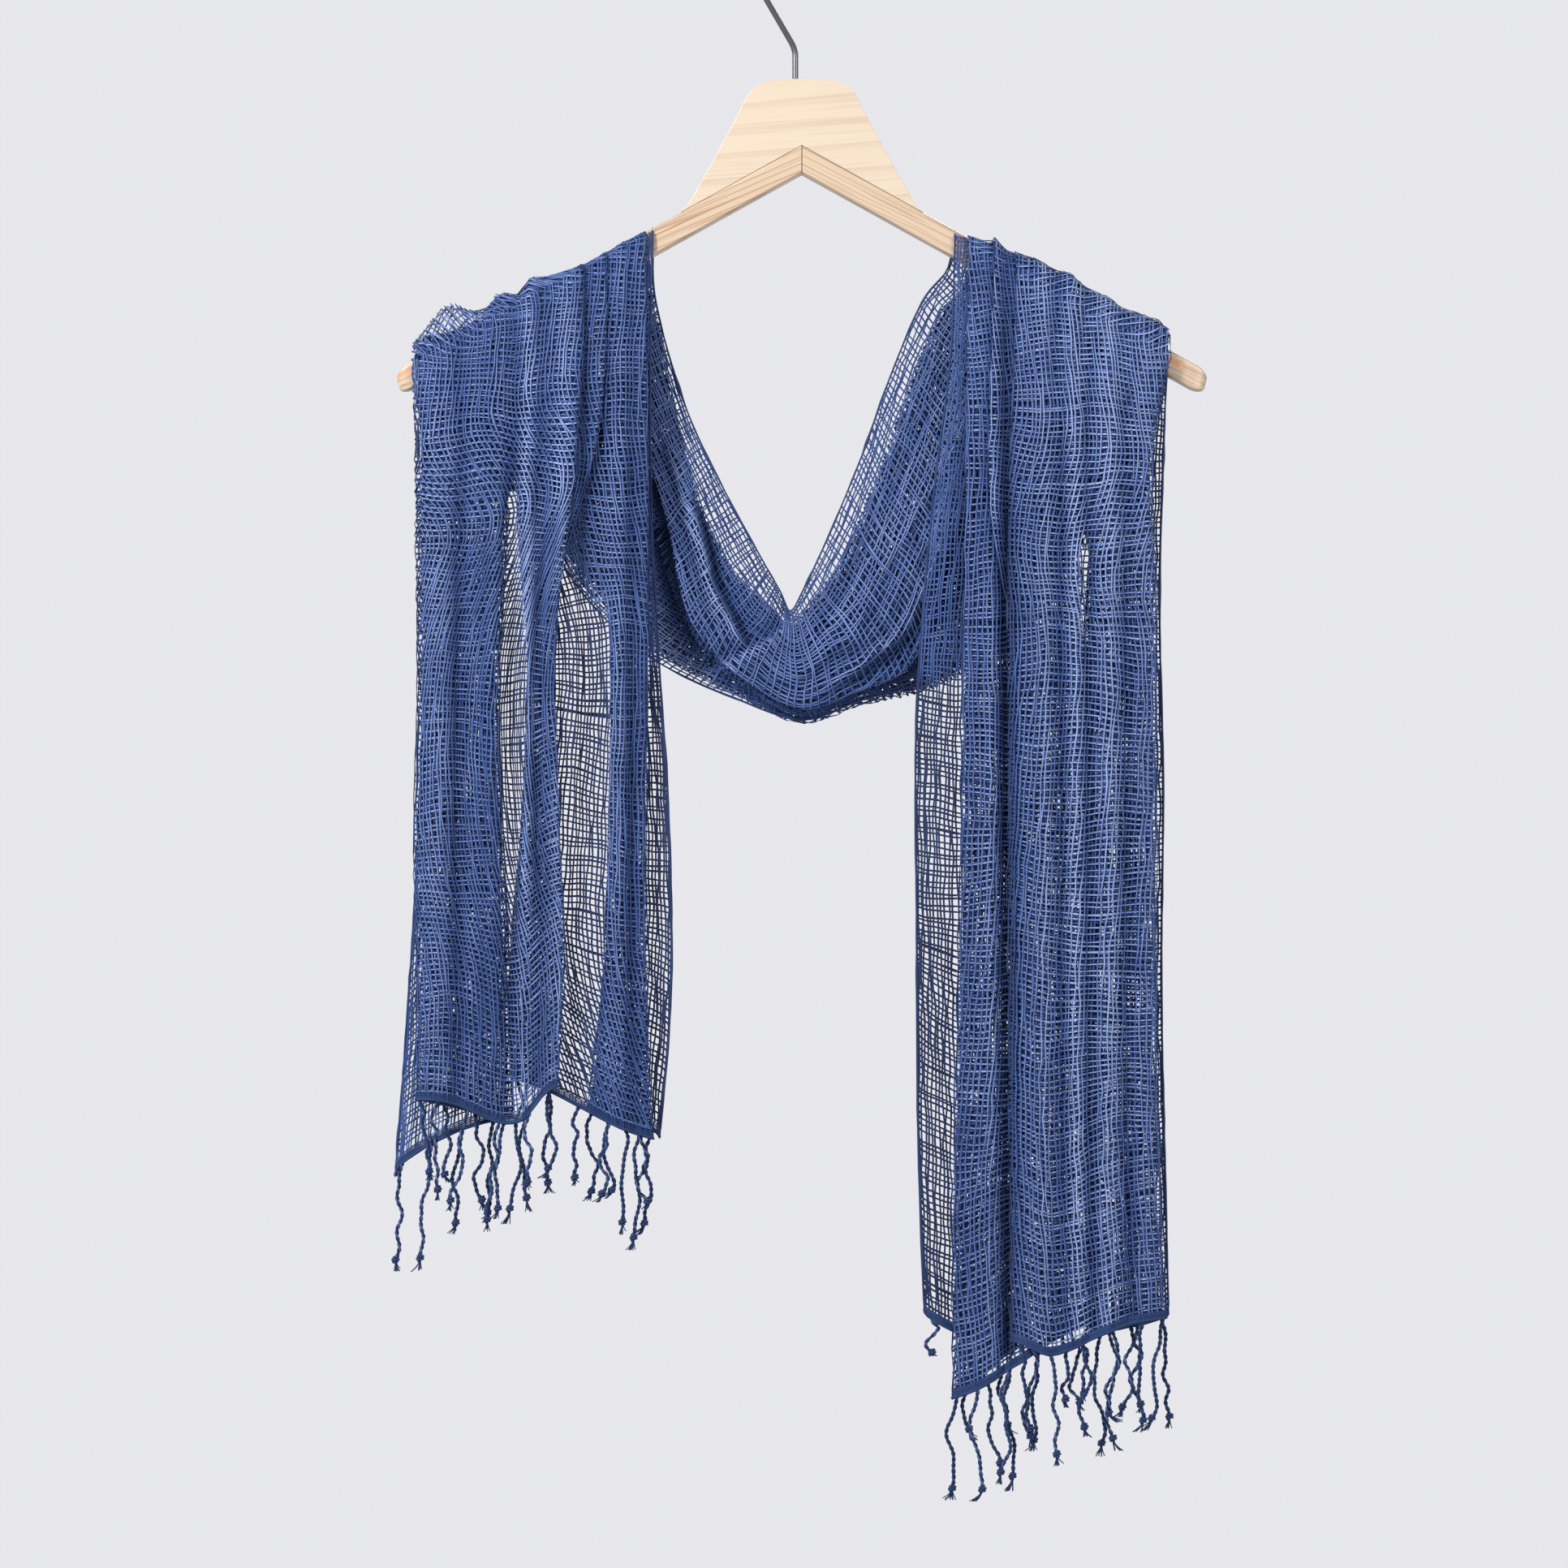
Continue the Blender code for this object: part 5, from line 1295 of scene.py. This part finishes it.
# %% Yoke
YOKE_TOP, YOKE_THICK, YOKE_FOOT, ABOVE_ARMS = -74.5, 11.0, 66.5, 0.02
YOKE_HALF = (
    (0.0, YOKE_TOP), (12.0, -74.8), (19.5, -75.8), (25.2, -78.4), (29.4, -83.2), (32.8, -89.4),
    (39.0, -101.6), (48.2, -118.4), (57.0, -134.2), (61.6, -142.2), (YOKE_FOOT, -147.3),
)


def yoke_outline():
    """Right half: a smooth curve through the points, the foot, back along the slope; then its mirror."""
    base = MITRE_TOP + ABOVE_ARMS / math.cos(ARM_SLOPE)
    last = len(YOKE_HALF) - 1
    edge = through_rows(np.arange(last + 1), np.array(YOKE_HALF), np.linspace(0, last, 61))
    half = np.concatenate([edge, [[YOKE_FOOT, base - YOKE_FOOT * math.tan(ARM_SLOPE)], [0.0, base]]])
    return np.concatenate([half, half[-2:0:-1] * (-1, 1)])


outline = yoke_outline()
rings = np.stack([np.insert(outline, 1, y, axis=1) for y in (-YOKE_THICK / 2, YOKE_THICK / 2)])
yoke = closed_loft("yoke", rings[::-1], YOKE_PINE, 0.5)
eased = yoke.modifiers.new("eased edges", "BEVEL")
eased.width, eased.segments, eased.limit_method, eased.angle_limit = 0.0004, 3, "ANGLE", math.radians(50)
print("yoke outline of", len(outline), "points")

# %% [markdown]
# ### Hook
#
# One wire: straight out of the yoke, a small bend, and then most of a circle. A ring carried along the line
# makes it, and the ring shrinks at the free end to a rounded tip.

# %% Hook
WIRE_RADIUS, HOOK_RADIUS, HOOK_STEM_X, HOOK_BEND, TIP_LENGTH = 1.65, 21.8, -3.6, -57.1, 1.4
FRONT_TO_BACK = np.array([0, 1.0, 0])
turn = np.linspace(math.pi + math.radians(31.4), math.radians(-18.0), 90)
round_part = HOOK_RADIUS * np.stack([np.cos(turn), np.sin(turn)], axis=1) + (0.0, WIRE_RADIUS - HOOK_RADIUS)
t = np.linspace(0, 1, 9)[:, None]
low, corner = np.array([HOOK_STEM_X, HOOK_BEND - 4]), np.array([HOOK_STEM_X, HOOK_BEND - 0.3])
to_round = round_part[0] - corner
near = corner + to_round / np.linalg.norm(to_round) * 5.0
bend = (1 - t) ** 2 * low + 2 * t * (1 - t) * corner + t**2 * near
wire = np.concatenate([[[HOOK_STEM_X, YOKE_TOP + 0.3]], bend, round_part])
line = np.stack([wire[:, 0], 0 * wire[:, 0], wire[:, 1]], axis=1)
ahead = np.gradient(line, axis=0)
ahead /= np.linalg.norm(ahead, axis=1, keepdims=True)
across = np.cross(ahead, FRONT_TO_BACK)
spin = np.linspace(0, 2 * np.pi, 16, endpoint=False)[:, None]
to_tip = np.clip(1 - np.linalg.norm(line - line[-1], axis=1) / TIP_LENGTH, 0, 1)
radius = WIRE_RADIUS * np.sqrt(np.clip(1 - to_tip**2, 0.04, 1))
around = np.cos(spin) * across[:, None] + np.sin(spin) * FRONT_TO_BACK
rings = line[:, None] + radius[:, None, None] * around
wire_hook = closed_loft("wire_hook", rings, WIRE_STEEL)
print("hook of", len(line), "rings")

# %% [markdown]
# ## What stands for what
#
# Each new piece rides on the model's one body and stands for the plain solid of the same shape, which is
# hidden. The rows also name a finish for each piece, and for the five nets how each hangs and on which arms,
# but nothing here reads these.

CLOTH = (
    ("scarf_left_tail", "hung", ["left_arm"], [cords_left]),
    ("scarf_left_back", "draped", ["left_arm"], []),
    ("scarf_swag", "draped", ["left_arm", "right_arm"], []),
    ("scarf_right_back", "draped", ["right_arm"], []),
    ("scarf_right_tail", "hung", ["right_arm"], [cords_right]),
)
FINISHES = [
    ("fringe_left", cords_left, "silk_gauze"),
    ("fringe_right", cords_right, "silk_gauze"),
    ("hanger_yoke", yoke, "pine"),
    ("hanger_left_arm", left_arm, "pine"),
    ("hanger_right_arm", right_arm, "pine"),
    ("hook", wire_hook, "steel_wire"),
    *((row[0], piece, "silk_gauze") for row, piece in zip(CLOTH, nets)),
]
for node, piece, finish in FINISHES:
    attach(piece, "root")
    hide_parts(node)

# %% [markdown]
# ## Floor, light and camera
#
# The scarf hangs against nothing: a pale surround lights it evenly and shows white through the net. A lamp
# from the upper left in front models the folds, a broad weak one opposite opens the shadows, and one behind
# does the same for the back. A pale floor lies below.

# %% Floor and light
FLOOR_HALF, FLOOR_HEIGHT, AIM = 1.2, -1.3, (0, 0, -0.4)
floor_mesh = bpy.data.meshes.new("floor")
around = ((-1, -1), (1, -1), (1, 1), (-1, 1))
floor_mesh.from_pydata([(x * FLOOR_HALF, y * FLOOR_HALF, FLOOR_HEIGHT) for x, y in around], [], [range(4)])
floor_paint, tree, shader = start_material("pale floor")
plug_all(tree, shader, Base_Color=(0.31, 0.31, 0.325, 1), Roughness=0.8)
add_object("floor", floor_mesh, floor_paint)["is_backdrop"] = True

world = bpy.data.worlds.new("pale surround")
world.use_nodes = True
surround = world.node_tree.nodes["Background"]
surround.inputs["Color"].default_value = (0.80, 0.80, 0.835, 1)
surround.inputs["Strength"].default_value = 1.0
bpy.context.scene.world = world
bpy.context.scene.view_settings.view_transform = "Standard"


def soft_lamp(name, place, size, watts):
    """A square lamp that faces the scarf's middle."""
    lamp = bpy.data.lights.new(name, "AREA")
    lamp.size, lamp.energy = size, watts
    made = bpy.data.objects.new(name, lamp)
    x, y, z = way = np.array(AIM) - place
    made.location = place
    made.rotation_euler = (math.acos(-z / np.linalg.norm(way)), 0, math.atan2(y, x) - math.pi / 2)
    bpy.context.scene.collection.objects.link(made)


soft_lamp("key", (-1.8, -1.7, 0.8), 0.5, 122.0)
soft_lamp("fill", (1.5, -1.8, -0.2), 1.2, 28.0)
soft_lamp("back", (0.9, 2.0, 1.6), 1.0, 45.0)
print("surround, floor and three lamps")

# %% [markdown]
# The photograph was taken straight on, level with the scarf's middle and from far enough away that its sides
# hardly converge, so a long lens at about 2.4 m gives the same picture.

# %% Camera
camera = bpy.data.cameras.new("camera")
camera.lens, camera.sensor_width = 100.0, 36.0
eye = bpy.data.objects.new("camera", camera)
eye.location = (-0.0098, -2.396, -0.4616)
eye.rotation_euler = (math.pi / 2, 0, 0)
bpy.context.scene.collection.objects.link(eye)
bpy.context.scene.camera = eye
print("camera at", tuple(eye.location))

# %% [markdown]
# ## Finish
#
# Last, the size of the dressed model is printed: it should agree with the solids' size within a few
# millimetres.

# %% Sizes, and the end
low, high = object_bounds()
print("dressed from", [round(x, 4) for x in low], "to", [round(x, 4) for x in high])
